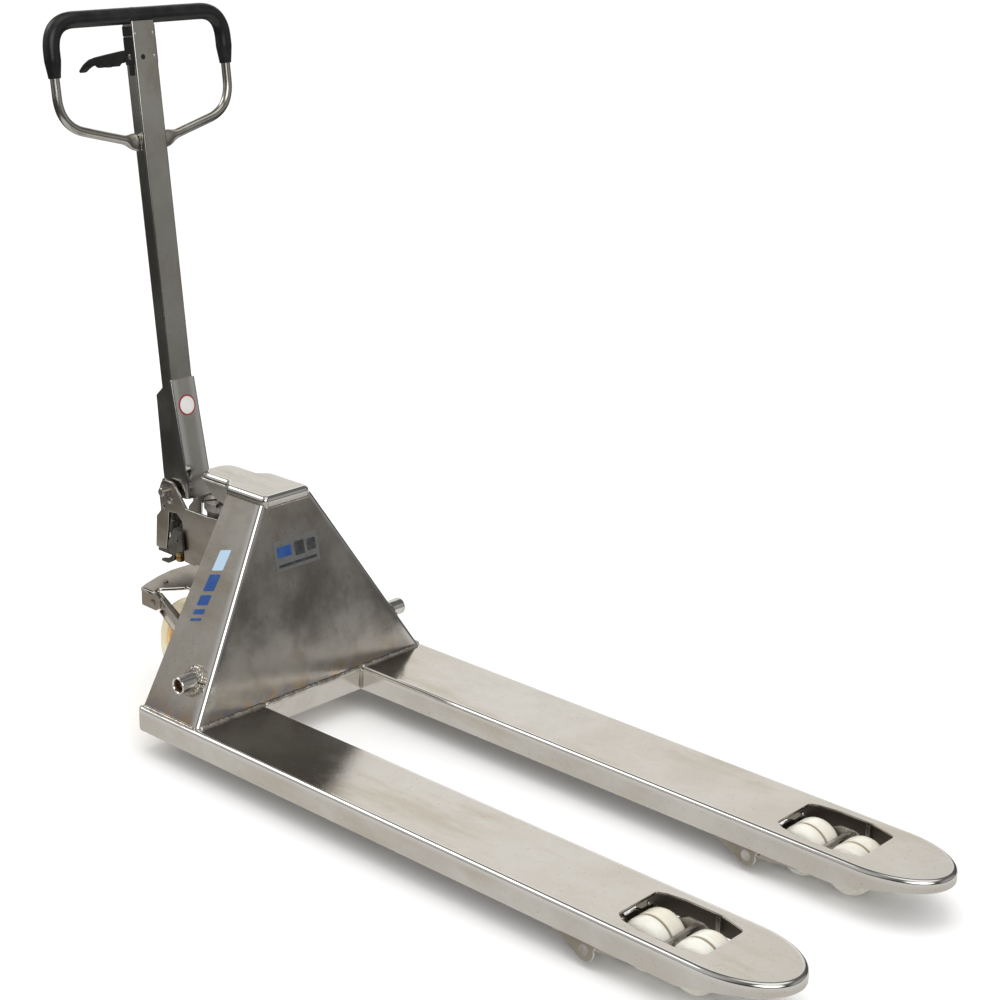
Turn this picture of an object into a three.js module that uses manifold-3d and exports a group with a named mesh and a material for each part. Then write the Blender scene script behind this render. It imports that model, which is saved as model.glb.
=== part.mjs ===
// Hand pallet truck in stainless steel, as an assembly of separate pieces.
// Millimetres, +Z up, +X from the hood towards the fork tips, +Y to the operator's left.
// Everything is laid out from the foot of the hood (x = 0); the last lines move the
// whole truck so that its origin is the middle of its bounding box, on the floor.
import * as THREE from 'three';
import { mergeVertices } from 'three/addons/utils/BufferGeometryUtils.js';
import Module from 'manifold-3d';

const wasm = await Module();
wasm.setup();

// ---------------------------------------------------------------- driving dimensions
const GAP = 0.3;                 // clearance between neighbouring pieces
const SIDES = [['left', 1], ['right', -1]];

const fork = {
  centreY: 192.5, halfWidth: 77.5, rearX: -147, tipX: 1150, tipLength: 120,
  topZ: 85, wallZ: 42, plate: 4, fold: 7,
};
const hood = {
  footHalf: 263, headHalf: 59, footZ: 85.3, headZ: 410, lean: 66, plate: 5,
  rearFootX: -136, rearHeadX: -151, capZ: 424,
};
const cap = { frontX: -63, stepX: -162, rearX: -258, halfWidth: 53, tongueHalf: 35 };
const shaft = { x: -49, z: 148, radius: 10, bossRadius: 15, endY: 260 };
const crank = { radius: 90, restAngle: 12.93, thick: 8 };
const rearArm = { pinX: -288, pinZ: 190, innerY: 97, thick: 8, splay: 0.3187 };
const loadArm = {
  pivotX: 840, pivotZ: 30, rodRadius: 33, rodAngle: 37.65,
  bogieX: 946, bogieZ: 40, plateInner: 43.5, plate: 5, pin: 10,
};
const bogie = { plateInner: 37, plate: 5, halfPitch: 43 };
const roller = { radius: 40, halfWidth: 35, bore: 8.5, axle: 8 };
const steer = { x: -225, axleZ: 100, wheelRadius: 100, wheelInner: 30, wheelOuter: 80, axle: 10 };
const pump = { cylinderRadius: 33, ramRadius: 18, headZ: 356, blockHalf: 33.7, blockTop: 262, tailFoot: 245 };
const plunger = { x: -359, rod: 6, cap: 9.4, capTop: 369, housingTop: 322 };
const ear = { inner: 34, outer: 40 };
const tiller = {
  pivotX: -341, pivotZ: 367, lean: 7.3, midX: 14.5, depth: 28, halfWidth: 25,
  tubeFoot: 45, tubeTop: 816, wall: 2.5, pin: 8, cheek: 3.2,
};
const pressRoller = { x: -14.3, z: 13.9, radius: 9 };
const handle = {
  tube: 8, grip: 14, collar: 26, halfSpan: 183.5, topZ: 825, gripEndZ: 733, kneeZ: 654, weldZ: 613, cornerRun: 50,
};
const lever = { pivotX: 14.5, pivotZ: 757, tipX: -161, tipZ: 736, halfThick: 7, rodArm: 6 };

// ---------------------------------------------------------------- materials
const paint = (color, roughness, metalness) =>
  new THREE.MeshStandardMaterial({ color, roughness, metalness });
const satinSteel = paint(0xb4afa6, 0.35, 1);
const brightSteel = paint(0xd8d6d2, 0.15, 1);
const castSteel = paint(0x6f6c66, 0.6, 0.8);
const springSteel = paint(0x55534f, 0.4, 0.9);
const brass = paint(0xb08a4a, 0.35, 1);
const whiteNylon = paint(0xf1efe6, 0.35, 0);
const creamNylon = paint(0xe2d5b0, 0.45, 0);
const amberNylon = paint(0xc39a55, 0.45, 0);
const blackRubber = paint(0x1b1c1d, 0.6, 0);
const blackPlastic = paint(0x202224, 0.5, 0);

// ---------------------------------------------------------------- solids and booleans
function solid(geometry) {
  const bare = geometry.index ? geometry.toNonIndexed() : geometry.clone();
  bare.deleteAttribute('normal');
  bare.deleteAttribute('uv');
  const merged = mergeVertices(bare, 1e-3);
  return new wasm.Manifold(new wasm.Mesh({
    numProp: 3,
    vertProperties: new Float32Array(merged.attributes.position.array),
    triVerts: new Uint32Array(merged.index.array),
  }));
}

function geometryOf(body) {
  const { vertProperties, triVerts } = body.getMesh();
  const geometry = new THREE.BufferGeometry();
  geometry.setAttribute('position', new THREE.BufferAttribute(vertProperties, 3));
  geometry.setIndex(new THREE.BufferAttribute(triVerts, 1));
  return geometry;
}

const unite = (...bodies) => bodies.reduce((whole, body) => whole.add(body));
const carve = (body, ...tools) => tools.reduce((rest, tool) => rest.subtract(tool), body);

function addPiece(parent, name, shape, material) {
  const geometry = shape.isBufferGeometry ? shape : geometryOf(shape);
  const piece = new THREE.Mesh(geometry, material);
  piece.name = name;
  parent.add(piece);
  return piece;
}

// ---------------------------------------------------------------- shape helpers
const outline = (points) => new THREE.Shape(points.map(([a, b]) => new THREE.Vector2(a, b)));
const flat = (depth) => ({ depth, bevelEnabled: false, curveSegments: 4 });
const deg = THREE.MathUtils.degToRad;

// an outline in plan (x, y), standing from zLow to zHigh
function standPlan(shape, zLow, zHigh) {
  return solid(new THREE.ExtrudeGeometry(shape, flat(zHigh - zLow)).translate(0, 0, zLow));
}

// an outline in side view (x, z), from yLow to yHigh
function standSide(shape, yLow, yHigh) {
  const geometry = new THREE.ExtrudeGeometry(shape, flat(yHigh - yLow));
  return solid(geometry.rotateX(Math.PI / 2).translate(0, yHigh, 0));
}

// an outline in front view (y, z), from xLow to xHigh
function standFront(shape, xLow, xHigh) {
  const toFront = new THREE.Matrix4().makeBasis(
    new THREE.Vector3(0, 1, 0), new THREE.Vector3(0, 0, 1), new THREE.Vector3(1, 0, 0));
  const geometry = new THREE.ExtrudeGeometry(shape, flat(xHigh - xLow)).applyMatrix4(toFront);
  return solid(geometry.translate(xLow, 0, 0));
}

function block(x, y, z) {
  const size = [x[1] - x[0], y[1] - y[0], z[1] - z[0]];
  const middle = [(x[0] + x[1]) / 2, (y[0] + y[1]) / 2, (z[0] + z[1]) / 2];
  return solid(new THREE.BoxGeometry(...size).translate(...middle));
}

// a round bar along Y or Z; flats face the axes, so facets of mating bores stay parallel
function barY(x, z, radius, yLow, yHigh, segments = 16) {
  const bar = new THREE.CylinderGeometry(radius, radius, yHigh - yLow, segments);
  return solid(bar.rotateY(Math.PI / segments).translate(x, (yLow + yHigh) / 2, z));
}

function barZ(x, y, radius, zLow, zHigh, segments = 20) {
  const bar = new THREE.CylinderGeometry(radius, radius, zHigh - zLow, segments);
  return solid(bar.rotateY(Math.PI / segments).rotateX(Math.PI / 2).translate(x, y, (zLow + zHigh) / 2));
}

// a ring turned about Y: the profile is [radius, y] pairs of a closed section; flats face down
function turnedY(profile, segments) {
  const stretch = 1 / Math.cos(Math.PI / segments);
  const section = profile.map(([r, y]) => new THREE.Vector2(r * stretch, y));
  section.push(section[0].clone());
  return solid(new THREE.LatheGeometry(section, segments, Math.PI / segments));
}

function disc(x, z, radius) {
  const shape = new THREE.Shape();
  shape.absarc(x, z, radius, 0, Math.PI * 2, false);
  return shape;
}

// the flat bar with round ends that joins two pins seen from the side
function link(a, b, endRadiusA, endRadiusB) {
  const along = Math.atan2(b[1] - a[1], b[0] - a[0]);
  const shape = new THREE.Shape();
  shape.absarc(a[0], a[1], endRadiusA, along + Math.PI / 2, along + Math.PI * 1.5, false);
  shape.absarc(b[0], b[1], endRadiusB, along - Math.PI / 2, along + Math.PI / 2, false);
  return shape;
}

const mirrored = (low, high, side) => (side > 0 ? [low, high] : [-high, -low]);

// ---------------------------------------------------------------- forks
function forkPlan(inset) {
  const half = fork.halfWidth - inset;
  const tipStart = fork.tipX - fork.tipLength;
  const shape = new THREE.Shape();
  shape.moveTo(fork.rearX + inset, -half);
  shape.lineTo(tipStart, -half);
  shape.absellipse(tipStart, 0, fork.tipLength - inset, half, -Math.PI / 2, Math.PI / 2, false, 0);
  shape.lineTo(fork.rearX + inset, half);
  return shape;
}

function forkBody(inset, zLow, fold) {
  const shape = forkPlan(inset);
  const depth = fork.topZ - inset - fold - zLow;
  const geometry = new THREE.ExtrudeGeometry(shape, {
    depth, bevelThickness: fold, bevelSize: fold, bevelOffset: -fold, bevelSegments: 2, curveSegments: 7,
  });
  return solid(geometry.translate(0, 0, zLow));
}

// what is cut away below the side walls: the wall's lower edge rises towards the tip
function forkUndercut() {
  return standSide(outline([
    [fork.rearX - 20, -20], [fork.tipX + 20, -20], [fork.tipX + 20, 65], [1095, 62], [1050, 55],
    [1005, fork.wallZ], [fork.rearX + 9, fork.wallZ], [fork.rearX, fork.wallZ + 9], [fork.rearX - 20, fork.wallZ + 9],
  ]), -100, 100);
}

function rollerWindow() {
  return standPlan(outline([
    [870, -46], [877, -50], [915, -55], [977, -55], [1016, -47], [1022, -41],
    [1022, 41], [1016, 47], [977, 55], [915, 55], [877, 50], [870, 46],
  ]), 60, 120);
}

// welded ears under each side wall that carry the load arm's pivot pin
function pivotEar(yLow, yHigh) {
  const shape = new THREE.Shape();
  shape.moveTo(782, fork.wallZ + 2);
  shape.lineTo(830, 15.5);
  shape.absarc(loadArm.pivotX, loadArm.pivotZ, 17.5, deg(235), deg(375), false);
  shape.lineTo(859, fork.wallZ + 2);
  return carve(
    standSide(shape, yLow, yHigh),
    barY(loadArm.pivotX, loadArm.pivotZ, 10 + GAP, yLow - 1, yHigh + 1),
  );
}

function makeFork() {
  const half = fork.halfWidth;
  const shell = carve(
    forkBody(0, 10, fork.fold),
    forkBody(fork.plate, 0, 3),
    forkUndercut(),
    rollerWindow(),
    block([-112, -12], [-17, 17], [60, 120]),
  );
  return unite(shell, pivotEar(-half, -half + fork.plate), pivotEar(half - fork.plate, half));
}

// ---------------------------------------------------------------- hood
const hoodSlope = (hood.footHalf - hood.headHalf) / (hood.headZ - hood.footZ);

// everything between two planes parallel to the leaning front
function frontSlab(frontInset, rearInset) {
  return standSide(outline([
    [-frontInset, hood.footZ], [-hood.lean - frontInset, hood.headZ],
    [-hood.lean - rearInset, hood.headZ], [-rearInset, hood.footZ],
  ]), -300, 300);
}

// the trapezium under both leaning sides, moved inwards by inset
function sideTrapezium(inset, xLow, xHigh) {
  const foot = hood.footHalf - inset;
  const head = hood.headHalf - inset;
  return standFront(outline([
    [-foot, hood.footZ], [foot, hood.footZ], [head, hood.headZ], [-head, hood.headZ],
  ]), xLow, xHigh);
}

function makeFrontPanel() {
  return frontSlab(0, hood.plate).intersect(sideTrapezium(0, -100, 20));
}

function makeSidePanel(side) {
  const skin = hood.plate * Math.hypot(1, hoodSlope);
  const profile = standSide(outline([
    [-hood.plate - GAP, hood.footZ], [-hood.lean - hood.plate - GAP, hood.headZ],
    [hood.rearHeadX, hood.headZ], [hood.rearFootX, hood.footZ],
  ]), ...mirrored(20, 300, side));
  const shell = carve(sideTrapezium(0, -200, 20), sideTrapezium(skin, -210, 30));
  return carve(
    shell.intersect(profile),
    barY(shaft.x, shaft.z, shaft.radius + 2, ...mirrored(100, 300, side)),
  );
}

function capPlan() {
  const { frontX, stepX, rearX, halfWidth, tongueHalf } = cap;
  const round = 16;
  const shape = new THREE.Shape();
  shape.moveTo(frontX, -halfWidth + 6);
  shape.lineTo(frontX, halfWidth - 6);
  shape.lineTo(frontX - 6, halfWidth);
  shape.lineTo(stepX, halfWidth);
  shape.lineTo(stepX - 8, tongueHalf);
  shape.lineTo(rearX + round, tongueHalf);
  shape.absarc(rearX + round, tongueHalf - round, round, Math.PI / 2, Math.PI, false);
  shape.absarc(rearX + round, -tongueHalf + round, round, Math.PI, Math.PI * 1.5, false);
  shape.lineTo(stepX - 8, -tongueHalf);
  shape.lineTo(stepX, -halfWidth);
  shape.lineTo(frontX - 6, -halfWidth);
  return shape;
}

// pressed top plate with a tongue over the pump and two gussets welded under the tongue
function makeCap() {
  const geometry = new THREE.ExtrudeGeometry(capPlan(), {
    depth: hood.capZ - hood.headZ - GAP - 4,
    bevelThickness: 4, bevelSize: 4, bevelOffset: -4, bevelSegments: 2, curveSegments: 4,
  });
  const top = solid(geometry.translate(0, 0, hood.headZ + GAP));
  const below = block([-400, 100], [-100, 100], [300, hood.headZ + GAP]);
  const gusset = outline([[-250, 412], [-168, 412], [-186, 379], [-214, 384]]);
  const half = cap.tongueHalf;
  return unite(
    carve(top, below),
    standSide(gusset, half - 7, half - 1),
    standSide(gusset, 1 - half, 7 - half),
  );
}

function makeShaftBoss(side) {
  const innerY = hood.footHalf - (shaft.z - hood.footZ) * hoodSlope - 20;
  const ring = carve(
    barY(shaft.x, shaft.z, shaft.bossRadius, ...mirrored(innerY, shaft.endY, side), 32),
    barY(shaft.x, shaft.z, shaft.radius + 1, ...mirrored(innerY - 1, shaft.endY + 1, side), 32),
  );
  const flange = carve(
    barY(shaft.x, shaft.z, shaft.bossRadius + 7, ...mirrored(innerY, innerY + 32, side), 32),
    barY(shaft.x, shaft.z, shaft.bossRadius - 1, ...mirrored(innerY - 1, innerY + 33, side), 32),
  );
  return carve(unite(ring, flange), sideTrapezium(-GAP * 1.4, -200, 20));
}

function makeCrossBeam() {
  const reach = fork.centreY - fork.halfWidth - GAP;
  const section = outline([
    [0, fork.wallZ], [0, fork.topZ - 2], [-2, fork.topZ - GAP], [-60, fork.topZ - GAP],
    [-60, fork.topZ - 5], [-5, fork.topZ - 5], [-5, fork.wallZ],
  ]);
  return standSide(section, -reach, reach);
}

// ---------------------------------------------------------------- lifting linkage
// crescent plate over the steering wheels; its side lugs carry the pins of the rear arms
function makeBearingPlate() {
  const plate = new THREE.Shape();
  plate.absellipse(steer.x, 0, 131, 116, deg(128), deg(232), false, 0);
  plate.absarc(steer.x, 0, 62, deg(285), deg(75), false);
  const lug = outline([[-320, 177], [-320, 209], [-282, 209], [-270, 198], [-270, 184], [-278, 176]]);
  const sides = [1, -1].map((side) => unite(
    standSide(lug, ...mirrored(112.6, 118, side)),
    block([-316, -296], mirrored(50, 115, side), [203, 209]),
    barY(rearArm.pinX, rearArm.pinZ, 6, ...mirrored(rearArm.innerY - 1, 114, side)),
  ));
  return carve(
    unite(standPlan(plate, 203, 209), ...sides),
    barZ(steer.x, 0, 34, 190, 220, 32),
  );
}

function makeThrustBearing() {
  return carve(
    barZ(steer.x, 0, 44, 209 + GAP, 217, 32),
    barZ(steer.x, 0, 33, 200, 220, 32),
  );
}

// flat arm from the torsion shaft back and inwards to an open jaw round the plate's pin
function makeRearArm(side) {
  const profile = link([rearArm.pinX, rearArm.pinZ], [shaft.x, shaft.z], 12, 22);
  const flatArm = new THREE.ExtrudeGeometry(profile, flat(rearArm.thick)).rotateX(Math.PI / 2);
  const innerEdge = mirrored(rearArm.innerY, rearArm.innerY + rearArm.thick, side)[1];
  const slope = rearArm.splay * side;
  const shear = new THREE.Matrix4().set(
    1, 0, 0, 0,
    slope, 1, 0, innerEdge - slope * rearArm.pinX,
    0, 0, 1, 0,
    0, 0, 0, 1,
  );
  const arm = solid(flatArm.applyMatrix4(shear));
  const jawSlope = Math.atan2(shaft.z - rearArm.pinZ, shaft.x - rearArm.pinX);
  const slot = new THREE.BoxGeometry(36, 300, 14.6).translate(-5, 0, 0).rotateY(-jawSlope);
  return carve(
    arm,
    solid(slot.translate(rearArm.pinX, 100 * side, rearArm.pinZ)),
    barY(shaft.x, shaft.z, shaft.radius + GAP, ...mirrored(150, 210, side)),
  );
}

const crankPin = {
  x: shaft.x - crank.radius * Math.sin(deg(crank.restAngle)),
  z: shaft.z - crank.radius * Math.cos(deg(crank.restAngle)),
};
const rodPin = {
  x: loadArm.pivotX - loadArm.rodRadius * Math.sin(deg(loadArm.rodAngle)),
  z: loadArm.pivotZ + loadArm.rodRadius * Math.cos(deg(loadArm.rodAngle)),
};

function makeCrank() {
  const half = crank.thick / 2;
  const plate = standSide(link([crankPin.x, crankPin.z], [shaft.x, shaft.z], 12, 18), -half, half);
  return unite(
    carve(plate, barY(shaft.x, shaft.z, shaft.radius + GAP, -20, 20)),
    barY(crankPin.x, crankPin.z, 6, -half - 7, half + 7),
  );
}

// rod between the crank and the load arm: clevis at the rear, slotted eye at the front
function makePushRod() {
  const span = Math.hypot(rodPin.x - crankPin.x, rodPin.z - crankPin.z);
  const slope = Math.atan2(rodPin.z - crankPin.z, rodPin.x - crankPin.x);
  const along = (geometry) => solid(geometry.rotateY(-slope).translate(crankPin.x, 0, crankPin.z));
  const bar = new THREE.CylinderGeometry(7, 7, span - 48, 12).rotateZ(Math.PI / 2);
  const half = crank.thick / 2;
  const cheeks = [half + GAP, -half - GAP - 6].map((y) =>
    standSide(link([crankPin.x, crankPin.z], [crankPin.x + 34, crankPin.z], 11, 9), y, y + 6));
  const yoke = block([crankPin.x + 17, crankPin.x + 40], [-half - 6, half + 6], [crankPin.z - 8, crankPin.z + 8]);
  const eye = standSide(link([rodPin.x, rodPin.z + 4.3], [rodPin.x - 30, rodPin.z], 14.2, 9), -5, 5);
  const slot = standSide(link([rodPin.x, rodPin.z], [rodPin.x, rodPin.z + 9], 6.8, 6.8), -10, 10);
  return carve(
    unite(along(bar.translate(span / 2, 0, 0)), yoke, ...cheeks, eye),
    slot,
    barY(crankPin.x, crankPin.z, 6.5, -30, 30),
  );
}

// ---------------------------------------------------------------- load wheels
function makeLoadArm() {
  const pivot = [loadArm.pivotX, loadArm.pivotZ];
  const axle = [loadArm.bogieX, loadArm.bogieZ];
  const outer = loadArm.plateInner + loadArm.plate;
  const lug = link([rodPin.x, rodPin.z], pivot, 10, 14);
  const sides = [1, -1].map((side) => unite(
    standSide(link(pivot, axle, 15, 13), ...mirrored(loadArm.plateInner, outer, side)),
    barY(...axle, 8, ...mirrored(bogie.plateInner, loadArm.plateInner + 2, side)),
    standSide(lug, ...mirrored(6, 12, side)),
  ));
  return carve(
    unite(barY(...pivot, 13, -outer, outer), barY(rodPin.x, rodPin.z, 6, -11, 11), ...sides),
    barY(...pivot, loadArm.pin + GAP, -60, 60),
  );
}

function makeLoadArmPin() {
  return barY(loadArm.pivotX, loadArm.pivotZ, loadArm.pin, -fork.halfWidth, fork.halfWidth);
}

// two link plates joined by a bar over the gap between the rollers
function makeBogie() {
  const { bogieX, bogieZ } = loadArm;
  const profile = outline([
    [bogieX - 58, 34], [bogieX - 50, 25], [bogieX + 50, 25], [bogieX + 58, 34],
    [bogieX + 56, 52], [bogieX + 14, 77], [bogieX - 14, 77], [bogieX - 56, 52],
  ]);
  const outer = bogie.plateInner + bogie.plate;
  const plates = [1, -1].map((side) => standSide(profile, ...mirrored(bogie.plateInner, outer, side)));
  const bar = block([bogieX - 7, bogieX + 7], [-outer, outer], [69, 77]);
  const bores = [-bogie.halfPitch, 0, bogie.halfPitch].map(
    (offset) => barY(bogieX + offset, bogieZ, roller.axle + GAP * 1.5, -60, 60));
  return carve(unite(...plates, bar), ...bores);
}

function makeRollerAxle(x) {
  const outer = bogie.plateInner + bogie.plate;
  return barY(x, loadArm.bogieZ, roller.axle, -outer - 1, outer + 1);
}

function makeRoller(x) {
  const { radius, halfWidth, bore } = roller;
  return turnedY([
    [bore, -halfWidth], [radius - 6, -halfWidth], [radius, -halfWidth + 6],
    [radius, halfWidth - 6], [radius - 6, halfWidth], [bore, halfWidth],
  ], 32).translate(x, 0, loadArm.bogieZ);
}

// ---------------------------------------------------------------- steering wheels
function wheelRing(profile, side) {
  const middle = (steer.wheelInner + steer.wheelOuter) / 2;
  return turnedY(profile, 32).translate(steer.x, middle * side, steer.axleZ);
}

function makeTyre(side) {
  const half = (steer.wheelOuter - steer.wheelInner) / 2;
  const radius = steer.wheelRadius;
  return wheelRing([
    [76, -half], [radius - 9, -half], [radius - 2, -half + 5], [radius, -half + 13],
    [radius, half - 13], [radius - 2, half - 5], [radius - 9, half], [76, half],
  ], side);
}

function makeWheelHub(side) {
  const half = (steer.wheelOuter - steer.wheelInner) / 2;
  return wheelRing([
    [steer.axle + 0.5, -half], [26, -half], [30, -half + 12], [64, -half + 12], [68, -half + 1],
    [76 - GAP, -half + 1], [76 - GAP, half - 1], [68, half - 1], [64, half - 12], [30, half - 12],
    [26, half], [steer.axle + 0.5, half],
  ], side);
}

function makeWheelAxle() {
  const reach = steer.wheelOuter + 5;
  const bar = barY(steer.x, steer.axleZ, steer.axle, -reach, reach);
  const cap = (side) => barY(steer.x, steer.axleZ, 16, ...mirrored(steer.wheelOuter + 1, reach + 2, side));
  return unite(bar, cap(1), cap(-1));
}

// ---------------------------------------------------------------- pump unit
function makePumpBase() {
  const foot = standSide(link([steer.x, steer.axleZ], [steer.x, 180], 30, 30), -27, 27);
  const neck = barZ(steer.x, 0, 30, 190, 217, 32);
  return carve(unite(foot, neck), barY(steer.x, steer.axleZ, steer.axle + GAP, -40, 40));
}

function makePumpBody() {
  const flange = barZ(steer.x, 0, 42, 217 + GAP, pump.tailFoot + 4, 32);
  const tail = block([-374, steer.x], [-pump.blockHalf, pump.blockHalf], [pump.tailFoot, pump.blockTop]);
  return carve(
    unite(flange, tail),
    barZ(steer.x, 0, pump.cylinderRadius + GAP, 200, 300, 32),
    barZ(plunger.x, 0, plunger.rod + 0.5, pump.tailFoot + 3, 300),
  );
}

function makePumpCylinder() {
  return carve(
    barZ(steer.x, 0, pump.cylinderRadius, 217 + GAP, pump.headZ, 32),
    barZ(steer.x, 0, pump.ramRadius + 0.6, 223, 400, 32),
  );
}

// slotted nut that closes the cylinder's head
function makeGlandNut() {
  const ring = barZ(steer.x, 0, 38, pump.headZ + GAP, 371, 32);
  const notches = [0, 60, 120].map((turn) => {
    const notch = new THREE.BoxGeometry(100, 9, 10).rotateZ(deg(turn));
    return solid(notch.translate(steer.x, 0, 371));
  });
  return carve(ring, barZ(steer.x, 0, pump.ramRadius + 0.6, 340, 400, 32), ...notches);
}

function makeRam() {
  return barZ(steer.x, 0, pump.ramRadius, 226, hood.headZ, 32);
}

function makePlungerHousing() {
  return carve(
    barZ(plunger.x, 0, 14, pump.blockTop + GAP, plunger.housingTop),
    barZ(plunger.x, 0, plunger.rod + 0.5, 250, 340),
  );
}

function makePlunger() {
  const { x, rod, cap: capRadius, capTop } = plunger;
  return unite(
    barZ(x, 0, rod, 275, capTop - 2),
    barZ(x, 0, capRadius, capTop - 5, capTop),
  );
}

// the line of a coil spring's wire
class Helix extends THREE.Curve {
  constructor(radius, height, turns) {
    super();
    Object.assign(this, { radius, height, turns });
  }

  getPoint(t) {
    const angle = t * this.turns * Math.PI * 2;
    return new THREE.Vector3(this.radius * Math.cos(angle), this.radius * Math.sin(angle), t * this.height);
  }
}

function makePlungerSpring() {
  const wire = 1;
  const low = plunger.housingTop + GAP + wire;
  const high = plunger.capTop - 5 - GAP - wire;
  const path = new Helix(7.9, high - low, 6);
  const geometry = new THREE.ExtrudeGeometry(disc(0, 0, wire), {
    steps: 60, curveSegments: 3, bevelEnabled: false, extrudePath: path,
  });
  return solid(geometry.translate(plunger.x, 0, low));
}

// side plate that carries the tiller's pin, cut away round the release valve
function makeEar(side) {
  const { pivotX, pivotZ } = tiller;
  const shape = new THREE.Shape();
  shape.moveTo(-294, 245);
  shape.lineTo(-268, 244);
  shape.lineTo(-238, 256);
  shape.lineTo(-205, 262);
  shape.lineTo(-199, 348);
  shape.lineTo(-228, 346);
  shape.lineTo(-286, 346);
  shape.absarc(pivotX, pivotZ, 19, deg(35), deg(205), false);
  shape.lineTo(-357, 327);
  shape.lineTo(-368, 315);
  shape.lineTo(-372, 254);
  shape.lineTo(-344, 256);
  shape.lineTo(-337, 297);
  shape.lineTo(-334, 329);
  shape.lineTo(-314, 331);
  shape.lineTo(-299, 320);
  shape.lineTo(-296, 300);
  return carve(
    standSide(shape, ...mirrored(ear.inner, ear.outer, side)),
    barY(pivotX, pivotZ, tiller.pin + GAP, ...mirrored(20, 60, side)),
    barY(-347, 337, 3, ...mirrored(20, 60, side), 12),
  );
}

function makeTillerPin() {
  const reach = ear.outer + 4;
  const { pivotX, pivotZ, pin } = tiller;
  const head = barY(pivotX, pivotZ, pin + 4, ear.outer + GAP, reach + 1);
  return carve(
    unite(barY(pivotX, pivotZ, pin, -reach - 4, reach), head),
    barZ(pivotX, -reach, 1.6, pivotZ - 20, pivotZ + 20, 12),
  );
}

function makeReleaseValve() {
  const stem = barZ(-312, 0, 9, 240, 300, 20);
  return carve(stem, block([-400, -200], [-50, 50], [200, pump.blockTop + GAP]));
}

function makeReleaseLever() {
  const arm = standSide(link([-328, 300], [-300, 304], 7, 6), 12, 18);
  return unite(arm, barY(-328, 300, 4, -18, 30));
}

// ---------------------------------------------------------------- tiller (own frame at its pivot)
function makeTillerFoot() {
  const outer = tiller.halfWidth + GAP + tiller.cheek;
  const profile = new THREE.Shape();
  profile.moveTo(31.8, 199);
  profile.lineTo(17, 193);
  profile.lineTo(-11, 172);
  profile.lineTo(-17, 37);
  profile.absarc(pressRoller.x, pressRoller.z, 11, deg(170), deg(250), false);
  profile.absarc(0, 0, 14, deg(235), deg(290), false);
  profile.lineTo(46, -12);
  profile.lineTo(47, 24);
  const inner = outline([
    [28.8, 210], [28.8, 190], [43.2, 24], [42.4, -30], [-60, -30], [-60, 210],
  ]);
  const reach = tiller.halfWidth + GAP;
  return carve(
    standSide(profile, -outer, outer),
    standSide(inner, -reach, reach),
    barY(0, 0, tiller.pin + 0.6, -60, 60),
    barY(pressRoller.x, pressRoller.z, 4 + GAP, -60, 60),
  );
}

function makeTillerTube() {
  const { midX, depth, halfWidth, tubeFoot, tubeTop, wall } = tiller;
  const low = midX - depth / 2;
  const high = midX + depth / 2;
  const skin = block([low, high], [-halfWidth, halfWidth], [tubeFoot, tubeTop]);
  const bore = block([low + wall, high - wall], [wall - halfWidth, halfWidth - wall], [0, 900]);
  const leverSlot = block([low - 5, low + wall + 1], [-lever.halfThick - 2, lever.halfThick + 2], [729, 806]);
  const saddle = barY(midX, handle.topZ, handle.grip + GAP, -40, 40);
  return carve(skin, bore, leverSlot, saddle, barY(lever.pivotX, lever.pivotZ, 5 + GAP, -40, 40));
}

function makePressRoller() {
  return carve(
    barY(pressRoller.x, pressRoller.z, pressRoller.radius, -9, 9),
    barY(pressRoller.x, pressRoller.z, 4.5, -20, 20),
  );
}

function makePressRollerPin() {
  const reach = tiller.halfWidth + tiller.cheek;
  return barY(pressRoller.x, pressRoller.z, 4, -reach, reach);
}

// a run of straight lines through the points, with each corner rounded off
function roundedPath(points, cornerRun) {
  const path = new THREE.CurvePath();
  let from = points[0];
  for (let i = 1; i < points.length - 1; i += 1) {
    const corner = points[i];
    const entry = corner.clone().lerp(points[i - 1], cornerRun / corner.distanceTo(points[i - 1]));
    const exit = corner.clone().lerp(points[i + 1], cornerRun / corner.distanceTo(points[i + 1]));
    path.add(new THREE.LineCurve3(from, entry));
    path.add(new THREE.QuadraticBezierCurve3(entry, corner, exit));
    from = exit;
  }
  path.add(new THREE.LineCurve3(from, points[points.length - 1]));
  return path;
}

function sweep(path, radius, steps, sides) {
  return solid(new THREE.ExtrudeGeometry(disc(0, 0, radius), {
    steps, curveSegments: sides / 2, bevelEnabled: false, extrudePath: path,
  }));
}

function handlePoint(y, z) {
  return new THREE.Vector3(tiller.midX, y, z);
}

function handleTube(radius) {
  const { halfSpan, topZ, weldZ, kneeZ, cornerRun } = handle;
  const end = tiller.halfWidth + 0.8;
  const path = roundedPath([
    handlePoint(end, weldZ), handlePoint(halfSpan, kneeZ), handlePoint(halfSpan, topZ),
    handlePoint(-halfSpan, topZ), handlePoint(-halfSpan, kneeZ), handlePoint(-end, weldZ),
  ], cornerRun);
  return sweep(path, radius, 42, 8);
}

function makeHandleLoop() {
  const { depth, halfWidth } = tiller;
  const beside = block([-20, 60], [-halfWidth - GAP, halfWidth + GAP], [500, 700]);
  return carve(handleTube(handle.tube), beside.translate(tiller.midX - depth, 0, 0));
}

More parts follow.
